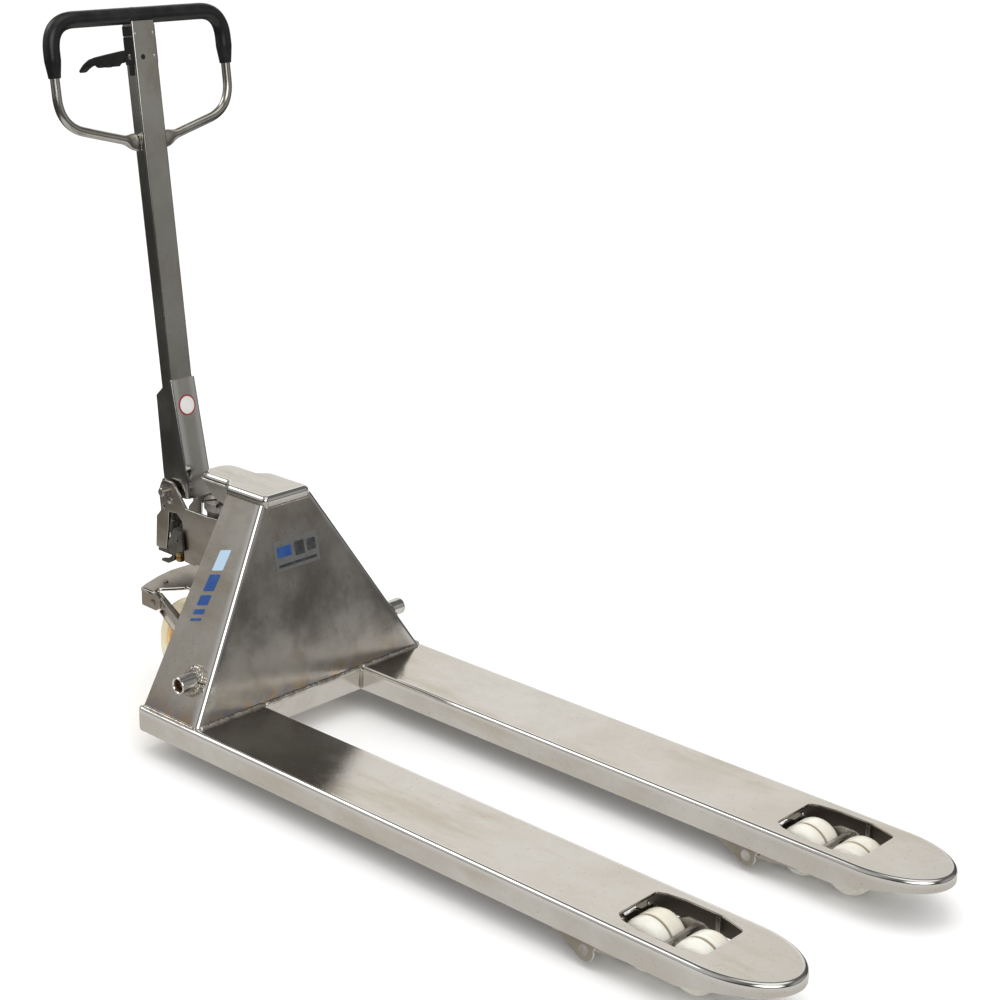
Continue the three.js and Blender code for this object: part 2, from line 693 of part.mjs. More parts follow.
function makeHandleGrip() {
  const { halfSpan, topZ, gripEndZ, cornerRun, collar } = handle;
  const path = roundedPath([
    handlePoint(halfSpan, gripEndZ + collar - 2), handlePoint(halfSpan, topZ),
    handlePoint(-halfSpan, topZ), handlePoint(-halfSpan, gripEndZ + collar - 2),
  ], cornerRun);
  const collars = [1, -1].map((side) => {
    const cone = new THREE.CylinderGeometry(handle.grip, 10.5, collar, 12).rotateX(Math.PI / 2);
    return solid(cone.translate(tiller.midX, halfSpan * side, gripEndZ + collar / 2));
  });
  return carve(unite(sweep(path, handle.grip, 28, 10), ...collars), handleTube(handle.tube + GAP * 1.5));
}

function makeTopPlug() {
  const { midX, depth, halfWidth, wall } = tiller;
  const low = midX - depth / 2 + wall + GAP;
  const high = midX + depth / 2 - wall - GAP;
  const reach = halfWidth - wall - GAP;
  const saddleFoot = handle.topZ - handle.grip - GAP;
  return block([low, high], [-reach, reach], [saddleFoot - 14, saddleFoot - 1]);
}

function makeLeverPin() {
  return barY(lever.pivotX, lever.pivotZ, 5, -tiller.halfWidth - 1, tiller.halfWidth + 1);
}

// finger lever: a curved blade with a hooked tip and three finger notches below
function makeFingerLever() {
  const { pivotX, pivotZ, tipX, tipZ, halfThick } = lever;
  const shape = new THREE.Shape();
  shape.moveTo(pivotX + 8, pivotZ + 8);
  shape.lineTo(-20, 767);
  shape.quadraticCurveTo(-90, 762, -118, 757);
  shape.quadraticCurveTo(-142, 752, tipX, tipZ);
  shape.quadraticCurveTo(-158, 731, -151, 734);
  shape.quadraticCurveTo(-134, 747, -110, 745);
  for (const notchX of [-92, -74, -56]) {
    shape.lineTo(notchX - 2, 742.5);
    shape.quadraticCurveTo(notchX + 7, 746, notchX + 14, 744);
  }
  shape.lineTo(-20, 748);
  shape.lineTo(pivotX, pivotZ - 11);
  shape.lineTo(pivotX + 8, pivotZ - 8);
  return carve(
    standSide(shape, -halfThick, halfThick),
    barY(pivotX, pivotZ, 5 + GAP * 2, -20, 20),
  );
}

function makeControlRod() {
  return barZ(lever.pivotX + lever.rodArm, 0, 3, 90, lever.pivotZ - 18, 12);
}

// ---------------------------------------------------------------- assembly
const truck = new THREE.Group();

function addFrame(parent) {
  for (const [name, side] of SIDES) {
    const forkGroup = new THREE.Group();
    forkGroup.position.y = fork.centreY * side;
    parent.add(forkGroup);
    addPiece(forkGroup, `fork_${name}`, makeFork(), satinSteel);
    addPiece(forkGroup, `load_arm_pin_${name}`, makeLoadArmPin(), brightSteel);
    addPiece(parent, `hood_side_panel_${name}`, makeSidePanel(side), satinSteel);
    addPiece(parent, `shaft_boss_${name}`, makeShaftBoss(side), brightSteel);
  }
  addPiece(parent, 'cross_beam', makeCrossBeam(), satinSteel);
  addPiece(parent, 'hood_front_panel', makeFrontPanel(), satinSteel);
  addPiece(parent, 'hood_cap', makeCap(), satinSteel);
  addPiece(parent, 'lift_ram', makeRam(), brightSteel);
}

function addLinkage(parent) {
  addPiece(parent, 'bearing_plate', makeBearingPlate(), satinSteel);
  addPiece(parent, 'thrust_bearing', makeThrustBearing(), brightSteel);
  const reach = shaft.endY - 10;
  addPiece(parent, 'torsion_shaft', barY(shaft.x, shaft.z, shaft.radius, -reach, reach), brightSteel);
  for (const [name, side] of SIDES) {
    const forkGroup = new THREE.Group();
    forkGroup.position.y = fork.centreY * side;
    parent.add(forkGroup);
    addPiece(parent, `rear_arm_${name}`, makeRearArm(side), satinSteel);
    addPiece(forkGroup, `crank_${name}`, makeCrank(), satinSteel);
    addPiece(forkGroup, `push_rod_${name}`, makePushRod(), brightSteel);
    addPiece(forkGroup, `load_arm_${name}`, makeLoadArm(), satinSteel);
    addPiece(forkGroup, `bogie_${name}`, makeBogie(), satinSteel);
    for (const [place, offset] of [['front', bogie.halfPitch], ['rear', -bogie.halfPitch]]) {
      const x = loadArm.bogieX + offset;
      addPiece(forkGroup, `roller_axle_${name}_${place}`, makeRollerAxle(x), brightSteel);
      addPiece(forkGroup, `load_roller_${name}_${place}`, makeRoller(x), whiteNylon);
    }
  }
}

function addPump(parent) {
  addPiece(parent, 'pump_base', makePumpBase(), castSteel);
  addPiece(parent, 'pump_body', makePumpBody(), castSteel);
  addPiece(parent, 'pump_cylinder', makePumpCylinder(), castSteel);
  addPiece(parent, 'gland_nut', makeGlandNut(), brightSteel);
  addPiece(parent, 'plunger_housing', makePlungerHousing(), castSteel);
  addPiece(parent, 'plunger', makePlunger(), brightSteel);
  addPiece(parent, 'plunger_spring', makePlungerSpring(), springSteel);
  addPiece(parent, 'release_valve', makeReleaseValve(), brass);
  addPiece(parent, 'release_lever', makeReleaseLever(), castSteel);
  addPiece(parent, 'tiller_pin', makeTillerPin(), brightSteel);
  addPiece(parent, 'wheel_axle', makeWheelAxle(), brightSteel);
  for (const [name, side] of SIDES) {
    addPiece(parent, `tiller_ear_${name}`, makeEar(side), satinSteel);
    addPiece(parent, `steer_tyre_${name}`, makeTyre(side), creamNylon);
    addPiece(parent, `steer_hub_${name}`, makeWheelHub(side), amberNylon);
  }
}

function addTiller(parent) {
  const leaning = new THREE.Group();
  leaning.position.set(tiller.pivotX, 0, tiller.pivotZ);
  leaning.rotation.y = -deg(tiller.lean);
  parent.add(leaning);
  addPiece(leaning, 'tiller_foot', makeTillerFoot(), satinSteel);
  addPiece(leaning, 'tiller_tube', makeTillerTube(), satinSteel);
  addPiece(leaning, 'press_roller', makePressRoller(), brightSteel);
  addPiece(leaning, 'press_roller_pin', makePressRollerPin(), brightSteel);
  addPiece(leaning, 'handle_loop', makeHandleLoop(), brightSteel);
  addPiece(leaning, 'handle_grip', makeHandleGrip(), blackRubber);
  addPiece(leaning, 'tiller_top_plug', makeTopPlug(), blackPlastic);
  addPiece(leaning, 'lever_pin', makeLeverPin(), brightSteel);
  addPiece(leaning, 'finger_lever', makeFingerLever(), blackPlastic);
  addPiece(leaning, 'control_rod', makeControlRod(), springSteel);
}

addFrame(truck);
addLinkage(truck);
addPump(truck);
addTiller(truck);

// the lever's tip is the rearmost point and the fork tips are the foremost
const leverTipX = tiller.pivotX
  + lever.tipX * Math.cos(deg(tiller.lean)) - lever.tipZ * Math.sin(deg(tiller.lean));
truck.position.x = -(fork.tipX + leverTipX) / 2;

const assembly = new THREE.Group();
assembly.add(truck);
export default assembly;
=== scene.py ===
"""Looks of the stainless hand pallet truck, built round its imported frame.

Shapes are written in millimetres in the CAD part's own layout: x = 0 at the foot of the
hood, +X to the fork tips, z = 0 on the floor. at() turns them into the frame's metres,
and on_tiller() does the same for the leaning tiller, whose origin is its pivot.
"""
import math
import random

import bmesh
import bpy
from mathutils import Matrix, Vector, geometry


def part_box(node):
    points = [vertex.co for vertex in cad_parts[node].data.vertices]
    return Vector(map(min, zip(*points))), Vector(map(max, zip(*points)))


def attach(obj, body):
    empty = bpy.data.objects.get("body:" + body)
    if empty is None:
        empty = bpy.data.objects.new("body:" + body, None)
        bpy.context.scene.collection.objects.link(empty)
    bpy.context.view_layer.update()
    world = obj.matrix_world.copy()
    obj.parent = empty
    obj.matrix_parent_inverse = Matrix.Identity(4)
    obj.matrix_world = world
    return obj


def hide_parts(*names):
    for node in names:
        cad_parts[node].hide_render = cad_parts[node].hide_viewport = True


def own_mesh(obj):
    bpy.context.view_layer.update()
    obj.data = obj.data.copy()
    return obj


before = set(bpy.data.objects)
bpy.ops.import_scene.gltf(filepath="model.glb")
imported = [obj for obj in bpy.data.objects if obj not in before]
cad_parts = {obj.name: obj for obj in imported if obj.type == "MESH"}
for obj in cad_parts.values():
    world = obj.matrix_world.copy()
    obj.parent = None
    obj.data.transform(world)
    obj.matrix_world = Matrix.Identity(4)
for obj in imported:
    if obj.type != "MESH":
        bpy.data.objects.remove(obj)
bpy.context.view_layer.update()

# ---------------------------------------------------------------- driving dimensions, mm
MM = 0.001
SIDES = (("left", 1), ("right", -1))
FORK = dict(centre=192.5, half=77.5, rear=-147, tip=1150, tip_run=120, top=85, plate=4, fold=7)
HOOD = dict(foot=85.6, head=410, foot_half=263, head_half=59, lean=66, rear_foot=-136,
            rear_head=-151, plate=5, fold=9, rows=28)
CAP = dict(top=424, skirt=406, front=-62, step=-160, rear=-258, half=53, tongue=36, fold=8.5)
SHAFT = dict(x=-49, z=148, end=260)
STEER = dict(x=-225, z=100, inner=30, outer=80)
TILLER = dict(x=-341, z=367, lean=7.3, mid=14.5, depth=28, half=25, lever_z=757)
FOOT = dict(half=28.6, fold=6.0, wall=3.2, rows=30, front=(-13, 199), rear=(-6, 172))
HANDLE = dict(tube=8, grip=14, half=183.5, top=825, knee=654, weld=613, corner=50, grip_end=733,
              collar=26)
LOAD = dict(pivot_x=840, pivot_z=30, bogie_x=946, bogie_z=40, pitch=43, half=35)
ARM_PIN = Vector((-288, 190))
PLUNGER_X = -359
PRESS_ROLLER = (-14.3, 0, 13.9)

# What the steel mirrors: the paper floor, the dark room, and softboxes as
# (direction, edge of the soft border, edge of the full glow, strength).
GLOW = dict(paper=0.68, room=0.05, beyond=0.08)
SOFTBOXES = (
    ((-0.66, 0.75, 0.30), 0.86, 0.95, 0.80),
    ((-0.63, -0.30, 0.72), 0.95, 0.985, 2.20),
    ((0.74, -0.48, 0.50), 0.90, 0.97, 2.20),
    ((-0.63, -0.60, 0.50), 0.55, 0.95, 0.36),
    ((0.20, 0.10, 1.00), 0.88, 0.97, 0.90),
    ((0.80, 0.60, 0.10), 0.78, 0.95, 0.26),
)

# Camera: place in mm, then yaw, pitch and roll in degrees, and focal length in frame widths.
CAMERA = dict(place=(2424, -2249, 1544), turn=(131.68, -18.65, 1.51), focal=2.065)

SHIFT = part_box("fork_left")[1].x / MM - FORK["tip"]
TILLER_PLACE = (Matrix.Translation(((TILLER["x"] + SHIFT) * MM, 0, TILLER["z"] * MM))
                @ Matrix.Rotation(math.radians(-TILLER["lean"]), 4, "Y"))


def at(x, y, z):
    return Vector(((x + SHIFT) * MM, y * MM, z * MM))


def on_tiller(x, y, z):
    return TILLER_PLACE @ Vector((x * MM, y * MM, z * MM))


def on_fork(side):
    """Places points whose y = 0 is the fork's own centre line."""
    return lambda x, y, z: at(x, y + FORK["centre"] * side, z)


def side_view(u, v, w):
    return u, w, v


def plan_view(u, v, w):
    return u, v, w


# ---------------------------------------------------------------- outlines and profiles
def lerp(a, b, t):
    return a + (b - a) * t


def between(value, low, high):
    """0 at low, 1 at high, and clamped outside."""
    return min(1.0, max(0.0, (value - low) / (high - low)))


def anticlockwise(loop):
    area = sum(a[0] * b[1] - b[0] * a[1] for a, b in zip(loop, loop[1:] + loop[:1]))
    return loop if area > 0 else loop[::-1]


def arc(cx, cy, radius, start, end, steps):
    """Points on an arc, in degrees, both ends included."""
    angles = [math.radians(lerp(start, end, i / steps)) for i in range(steps + 1)]
    return [(cx + radius * math.cos(a), cy + radius * math.sin(a)) for a in angles]


def box(u0, v0, u1, v1, radius):
    """Corners of a rectangle for rounded()."""
    return [(u0, v0, radius), (u1, v0, radius), (u1, v1, radius), (u0, v1, radius)]


def rounded(corners, steps=6):
    """A closed outline from (u, v, radius) corners, each rounded off with an arc."""
    loop = []
    for i, (u, v, radius) in enumerate(corners):
        here = Vector((u, v))
        before = Vector(corners[i - 1][:2]) - here
        after = Vector(corners[(i + 1) % len(corners)][:2]) - here
        half_angle = before.angle(after) / 2
        if radius <= 0 or half_angle > math.radians(89):
            loop.append((u, v))
            continue
        run = min(radius / math.tan(half_angle), 0.49 * before.length, 0.49 * after.length)
        reach = run * math.tan(half_angle)
        inwards = (before.normalized() + after.normalized()).normalized()
        middle = here + inwards * (reach / math.sin(half_angle))
        first = here + before.normalized() * run - middle
        last = here + after.normalized() * run - middle
        turn = first.angle_signed(last)
        for k in range(steps + 1):
            spoke = first.copy()
            spoke.rotate(Matrix.Rotation(-turn * k / steps, 2))
            loop.append(tuple(middle + spoke))
    return loop


def offset(loop, distance):
    """The anticlockwise loop moved inwards by distance (outwards if negative)."""
    moved = []
    for i, point in enumerate(loop):
        before = Vector(point) - Vector(loop[i - 1])
        after = Vector(loop[(i + 1) % len(loop)]) - Vector(point)
        if before.length < 1e-6 or after.length < 1e-6:
            before = after = before if before.length > after.length else after
        a = Vector((-before.y, before.x)).normalized()
        b = Vector((-after.y, after.x)).normalized()
        normal = (a + b).normalized()
        moved.append(tuple(Vector(point) + normal * distance / max(0.35, normal.dot(a))))
    return moved


def fold_over(radius, top):
    """(inset, height) of eight steps round a quarter fold that ends at the top."""
    turns = [math.radians(90 * i / 8) for i in range(1, 9)]
    return [(radius * (1 - math.cos(a)), top - radius + radius * math.sin(a)) for a in turns]


def symmetric(half_profile, closed=False):
    """A turning profile and its mirror image about its middle, closed into a loop if asked."""
    profile = half_profile + flipped(half_profile, -1)[::-1]
    return profile + profile[:1] if closed else profile


def flipped(profile, side):
    return [(along * side, radius) for along, radius in profile]


def pin_profile(half, radius, run, drop):
    """A plain pin with chamfered ends: the chamfer runs along the pin and drops in radius."""
    return symmetric([(-half, 0), (-half, radius - drop), (run - half, radius)])


# ---------------------------------------------------------------- meshes
class Shape:
    """Rings of points in millimetres that grow into one closed mesh."""

    def __init__(self, place=at):
        self.place = place
        self.points = []
        # A mark per point: above 0 a polished fold with a painted highlight, below 0 a dull face with painted
        # shade.
        self.polish_and_painted_light = []
        self.faces = []

    def ring(self, points, polish_and_painted_light=0.0):
        start = len(self.points)
        self.points += [self.place(*p) for p in points]
        self.polish_and_painted_light += [polish_and_painted_light] * len(points)
        return list(range(start, len(self.points)))

    def skin(self, rings, closed=True):
        for a, b in zip(rings, rings[1:]):
            for i in range(len(a) if closed else len(a) - 1):
                j = (i + 1) % len(a)
                self.faces.append((a[i], a[j], b[j], b[i]))

    def shell(self, outer, inner):
        """Two open skins, joined round their four edges."""
        self.skin(outer, closed=False)
        self.skin(inner, closed=False)
        for end in (0, -1):
            self.skin([outer[end], inner[end]], closed=False)
            self.skin([[ring[end] for ring in rings] for rings in (outer, inner)], closed=False)
        return self

    def fill(self, *loops):
        """Flat faces inside the first ring, with the other rings as holes."""
        flat = [i for loop in loops for i in loop]
        spots = [[self.points[i] for i in loop] for loop in loops]
        for triangle in geometry.tessellate_polygon(spots):
            self.faces.append(tuple(flat[i] for i in triangle))

    def lathe(self, centre, axis, profile, segments=64, marked=()):
        """Turns (along, radius) points about an axis; the marked points get a polish mark of 1, which on
        stainless also paints a highlight and on nylon colours the points darker.
        """
        rings = []
        for number, (along, radius) in enumerate(profile):
            ring = []
            for i in range(segments):
                a = 2 * math.pi * i / segments
                c, s = radius * math.cos(a), radius * math.sin(a)
                step = {"X": (along, c, s), "Y": (c, along, s), "Z": (c, s, along)}[axis]
                ring.append(tuple(p + q for p, q in zip(centre, step)))
            rings.append(self.ring(ring, 1.0 if number in marked else 0.0))
        self.skin(rings)
        if profile[0] != profile[-1]:
            self.faces += [tuple(rings[0]), tuple(rings[-1])]
        return self

    def plate(self, outline, low, high, bevel, view, holes=(), steps=3, polish_and_painted_light=0.0):
        """A flat plate between two levels with rounded edges, holes and their edges too."""
        low, high = sorted((low, high))
        levels = []
        for i in range(steps + 1):
            a = math.radians(90 * i / steps)
            levels.append((bevel * (1 - math.sin(a)), low + bevel * (1 - math.cos(a))))
        levels += [(inset, low + high - level) for inset, level in reversed(levels)]
        stacks = []
        for loop, sign in [(outline, 1)] + [(hole, -1) for hole in holes]:
            loop = anticlockwise(loop)
            rings = []
            for k, (inset, w) in enumerate(levels):
                # The rounded edge rings take the polish mark, which on stainless paints a highlight along the
                # edge.
                shine = polish_and_painted_light if 0 < k < len(levels) - 1 else 0.0
                rings.append(self.ring([view(u, v, w) for u, v in offset(loop, sign * inset)], shine))
            self.skin(rings)
            stacks.append(rings)
        self.fill(*[rings[0] for rings in stacks])
        self.fill(*[rings[-1] for rings in stacks])
        return self

    def sweep(self, path, section, segments=16):
        """A tube along the path; section(i) gives its two half-widths at point i."""
        spine = [Vector(p) for p in path]
        last = len(spine) - 1
        tangents = [(spine[min(i + 1, last)] - spine[max(i - 1, 0)]).normalized()
                    for i in range(last + 1)]
        first = Vector((1, 0, 0)) if abs(tangents[0].x) < 0.9 else Vector((0, 0, 1))
        side = (first - tangents[0] * first.dot(tangents[0])).normalized()
        turns = [2 * math.pi * k / segments for k in range(segments)]
        rings = []
        for i, (spot, tangent) in enumerate(zip(spine, tangents)):
            side = (side - tangent * side.dot(tangent)).normalized()
            up = tangent.cross(side)
            a, b = section(i)
            rings.append(self.ring([tuple(spot + side * a * math.cos(t) + up * b * math.sin(t))
                                    for t in turns]))
        self.skin(rings)
        self.faces += [tuple(rings[0]), tuple(rings[-1])]
        return self

    def make(self, name, look, body, *replaces, slot=None, sharp=32):
        """The finished piece: it rides on body and stands for the CAD nodes it replaces."""
        mesh = bpy.data.meshes.new(name)
        mesh.from_pydata([tuple(p) for p in self.points], [], self.faces)
        # The polish mark rides on the mesh; the stainless looks turn it into painted highlight and painted
        # shade.
        mesh.attributes.new("polish_and_painted_light", "FLOAT", "POINT").data.foreach_set("value", self.polish_and_painted_light)
        bm = bmesh.new()
        bm.from_mesh(mesh)
        bmesh.ops.remove_doubles(bm, verts=bm.verts, dist=2e-6)
        bmesh.ops.recalc_face_normals(bm, faces=bm.faces)
        bm.to_mesh(mesh)
        bm.free()
        return add_piece(name, mesh, look, body, replaces, sharp)


def add_piece(name, mesh, look, body, replaces, sharp=32):
    material, usual_slot = LOOKS[look]
    mesh.shade_smooth()
    mesh.set_sharp_from_angle(angle=math.radians(sharp))
    mesh.materials.clear()
    mesh.materials.append(material)
    piece = bpy.data.objects.new(name, mesh)
    bpy.context.scene.collection.objects.link(piece)
    firm = piece.modifiers.new("flat faces stay flat", "WEIGHTED_NORMAL")
    firm.keep_sharp = True
    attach(piece, body)
    if replaces:
        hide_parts(*replaces)
    return piece


def soften(node, look, body, bevel):
    """A copy of a CAD node with its hard edges rounded off, standing for the node."""
    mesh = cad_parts[node].data.copy()
    bm = bmesh.new()
    bm.from_mesh(mesh)
    bmesh.ops.remove_doubles(bm, verts=bm.verts, dist=2e-6)
    bmesh.ops.dissolve_limit(bm, angle_limit=math.radians(1), verts=bm.verts, edges=bm.edges)
    hard = [e for e in bm.edges if len(e.link_faces) == 2 and e.calc_face_angle() > math.radians(31)]
    bmesh.ops.bevel(bm, geom=hard, offset=bevel * MM, segments=2, profile=0.7, affect="EDGES",
                    clamp_overlap=True)
    bm.to_mesh(mesh)
    bm.free()
    mesh.attributes.new("polish_and_painted_light", "FLOAT", "POINT")
    add_piece(node + "_finished", mesh, look, body, (node,), sharp=40)


# ---------------------------------------------------------------- material tools
class Nodes:
    """A material's node tree, grown by short calls. Coordinates are the object's own."""

    def __init__(self, name):
        self.material = bpy.data.materials.new(name)
        self.material.use_nodes = True
        self.tree = self.material.node_tree
        self.tree.nodes.clear()
        self.coords = self.tree.nodes.new("ShaderNodeTexCoord").outputs["Object"]
        self.shader = self.tree.nodes.new("ShaderNodeBsdfPrincipled")
        output = self.tree.nodes.new("ShaderNodeOutputMaterial")
        self.tree.links.new(self.shader.outputs[0], output.inputs["Surface"])

    def add(self, kind, links=(), values=(), **settings):
        node = self.tree.nodes.new(kind)
        for key, value in settings.items():
            setattr(node, key, value)
        for socket, value in dict(values).items():
            node.inputs[socket].default_value = value
        for socket, source in dict(links).items():
            self.tree.links.new(source, node.inputs[socket])
        return node

    def noise(self, scale, detail=4.0, rough=0.55, stretch=(1, 1, 1)):
        mapped = self.add("ShaderNodeMapping", {"Vector": self.coords}, {"Scale": stretch})
        return self.add("ShaderNodeTexNoise", {"Vector": mapped.outputs[0]},
                        {"Scale": scale, "Detail": detail, "Roughness": rough}).outputs["Fac"]

    def remap(self, source, low, high, to_low=0.0, to_high=1.0):
        return self.add("ShaderNodeMapRange", {"Value": source},
                        {"From Min": low, "From Max": high, "To Min": to_low, "To Max": to_high},
                        interpolation_type="SMOOTHSTEP").outputs["Result"]

    def mix(self, factor, a, b):
        """Blends two colours; each is a tuple or the output of a node."""
        node = self.add("ShaderNodeMix", {"Factor": factor}, data_type="RGBA")
        for socket, colour in ((6, a), (7, b)):
            if isinstance(colour, tuple):
                node.inputs[socket].default_value = (*colour, 1)
            else:
                self.tree.links.new(colour, node.inputs[socket])
        return node.outputs[2]

    def math(self, operation, a, b):
        node = self.add("ShaderNodeMath", operation=operation)
        for socket, value in enumerate((a, b)):
            if isinstance(value, (int, float)):
                node.inputs[socket].default_value = value
            else:
                self.tree.links.new(value, node.inputs[socket])
        return node.outputs[0]

    def times(self, a, b):
        return self.math("MULTIPLY", a, b)

    def attribute(self, name):
        return self.add("ShaderNodeAttribute", attribute_name=name).outputs["Fac"]

    def height(self, axis="Z"):
        return self.add("ShaderNodeSeparateXYZ", {"Vector": self.coords}).outputs[axis]

    def bump(self, layers):
        """Stacks (height output, strength, distance in metres) layers into one normal."""
        normal = None
        for source, strength, distance in layers:
            links = {"Height": source}
            if normal is not None:
                links["Normal"] = normal
            values = {"Strength": strength, "Distance": distance}
            normal = self.add("ShaderNodeBump", links, values).outputs[0]
        self.tree.links.new(normal, self.shader.inputs["Normal"])

    def surface(self, colour, roughness, **constants):
        self.tree.links.new(colour, self.shader.inputs["Base Color"])
        self.tree.links.new(roughness, self.shader.inputs["Roughness"])
        for socket, value in constants.items():
            self.shader.inputs[socket.replace("_", " ")].default_value = value
        return self.material

    def glow(self, strength):
        """Turns the material into a plain warm-white light of the given strength."""
        lamp = self.add("ShaderNodeEmission", {"Strength": strength}, {"Color": (1.0, 0.975, 0.935, 1)})
        output = [node for node in self.tree.nodes if node.type == "OUTPUT_MATERIAL"][0]
        self.tree.links.new(lamp.outputs[0], output.inputs["Surface"])
        return self.material


def stainless(name, light, dark, rough, grain=(3, 260, 260), stain=0.5, wave=0.25, heat=None):
    """Sheet steel: rolled grain, cloudy stains, pits, slight waviness, and polished folds that also carry a
    painted highlight.

    The polish attribute is 1 on a polished fold, which is painted near-white as a painted highlight, and -1
    on a dull inner face, which is painted near-black as painted shade.
    heat is (low z, high z) in metres: a band of straw and blue tint beside a weld.
    """
    n = Nodes(name)
    cloud = n.noise(7, 7, 0.62)
    smear = n.noise(2.2, 5, 0.6, (1.5, 6, 4))
    lines = n.noise(9, 3, 0.7, grain)
    pits = n.remap(n.noise(230, 2, 0.5), 0.66, 0.76)
    # fold picks out the polished folds and inside the inner faces; below, both also paint light and shade
    # into the colour.
    fold = n.remap(n.attribute("polish_and_painted_light"), 0.0, 1.0)
    inside = n.remap(n.attribute("polish_and_painted_light"), -0.1, -0.9)
    colour = n.mix(n.remap(cloud, 0.3, 0.7), dark, light)
    smudge = n.times(n.remap(smear, 0.52, 0.72), stain)
    colour = n.mix(smudge, colour, tuple(c * s for c, s in zip(dark, (0.86, 0.80, 0.70))))
    colour = n.mix(n.times(pits, 0.6 * stain), colour, (0.16, 0.12, 0.08))
    if heat:
        ragged = n.math("ADD", n.height(), n.times(n.noise(26, 5, 0.65), 0.05))
        band = n.remap(ragged, heat[1] + 0.025, heat[0] + 0.025)
        tint = n.mix(n.remap(n.noise(40, 3), 0.4, 0.62), (0.36, 0.24, 0.13), (0.20, 0.23, 0.31))
        colour = n.mix(n.times(band, 0.6), colour, tint)
    # Painted highlight: the folds are painted near-white.
    colour = n.mix(n.times(fold, 0.8), colour, (0.86, 0.86, 0.85))
    # Painted shade: the inner faces are painted near-black.
    colour = n.mix(n.times(inside, 0.88), colour, (0.07, 0.055, 0.04))
    roughness = n.remap(cloud, 0.25, 0.75, rough - 0.05, rough + 0.07)
    roughness = n.math("ADD", roughness, n.times(n.math("SUBTRACT", lines, 0.5), 0.12))
    roughness = n.times(roughness, n.math("SUBTRACT", 1.0, n.times(fold, 0.7)))
    roughness = n.math("ADD", roughness, n.times(inside, 0.35))
    n.bump([(lines, 0.10, 0.0003), (n.noise(60, 4), 0.06, 0.0006), (n.noise(4.5, 2), wave, 0.004)])
    return n.surface(colour, roughness, Metallic=1.0)


def machined(name, light, dark, rough, grime=0.35):
    """Turned or polished solid steel: fine tool marks, grime that gathers in clouds."""
    n = Nodes(name)
    cloud = n.noise(28, 6, 0.6)
    marks = n.noise(420, 2, 0.5)
    colour = n.mix(n.remap(cloud, 0.35, 0.7), light, dark)
    dirt = n.times(n.remap(n.noise(16, 5, 0.7), 0.52, 0.75), grime)
    colour = n.mix(dirt, colour, (0.13, 0.10, 0.07))
    roughness = n.remap(cloud, 0.3, 0.75, rough, rough + 0.16)
    n.bump([(marks, 0.12, 0.0002), (cloud, 0.12, 0.0006)])
    return n.surface(colour, roughness, Metallic=1.0)


def cast(name, light, dark):
    """Blasted casting: grainy, dull, darker in patches."""
    n = Nodes(name)
    cloud = n.noise(24, 6, 0.65)
    colour = n.mix(n.remap(cloud, 0.35, 0.7), light, dark)
    roughness = n.remap(cloud, 0.3, 0.7, 0.42, 0.62)
    n.bump([(n.noise(520, 3), 0.35, 0.0005), (n.noise(90, 4), 0.2, 0.001)])
    return n.surface(colour, roughness, Metallic=0.9)


def nylon(name, light, dark, dirt, rough=0.28):
    """Wheel nylon: slightly translucent, yellowed in clouds, with scuffs and grit."""
    n = Nodes(name)
    cloud = n.noise(18, 5, 0.6)
    scuff = n.noise(12, 4, 0.7, (1, 14, 1))
    colour = n.mix(n.remap(cloud, 0.35, 0.7), light, dark)
    colour = n.mix(n.times(n.remap(scuff, 0.56, 0.75), 0.35), colour, dirt)
    colour = n.mix(n.times(n.remap(n.noise(300, 2), 0.7, 0.8), 0.5), colour, dirt)
    # The points with the polish mark, the roller's groove, are coloured darker.
    colour = n.mix(n.times(n.attribute("polish_and_painted_light"), 0.75), colour, dirt)
    roughness = n.remap(scuff, 0.3, 0.7, rough, rough + 0.2)
    n.bump([(scuff, 0.15, 0.0006), (n.noise(240, 3), 0.1, 0.0003)])
    n.shader.inputs["Subsurface Radius"].default_value = (0.012, 0.009, 0.006)
    return n.surface(colour, roughness, Subsurface_Weight=0.12, Subsurface_Scale=0.4)


def moulded(name, light, dark, rough, grain=700):
    """Moulded black plastic or rubber with a fine leathery grain and dusty wear."""
    n = Nodes(name)
    cloud = n.noise(30, 5, 0.6)
    colour = n.mix(n.remap(cloud, 0.35, 0.75), dark, light)
    dust = n.times(n.remap(n.noise(90, 5, 0.7), 0.6, 0.8), 0.3)
    colour = n.mix(dust, colour, tuple(min(1, c * 3 + 0.02) for c in light))
    roughness = n.remap(cloud, 0.3, 0.7, rough, rough + 0.14)
    n.bump([(n.noise(grain, 3), 0.22, 0.0003), (cloud, 0.08, 0.001)])
    return n.surface(colour, roughness)


def printed(name, ink, worn, rough=0.3):
    """A thin printed film with slightly uneven, rubbed ink."""
    n = Nodes(name)
    cloud = n.noise(60, 5, 0.65)
    colour = n.mix(n.remap(cloud, 0.4, 0.75), ink, worn)
    roughness = n.remap(cloud, 0.3, 0.7, rough, rough + 0.15)
    n.bump([(n.noise(200, 3), 0.08, 0.0002)])
    return n.surface(colour, roughness, Coat_Weight=0.2)


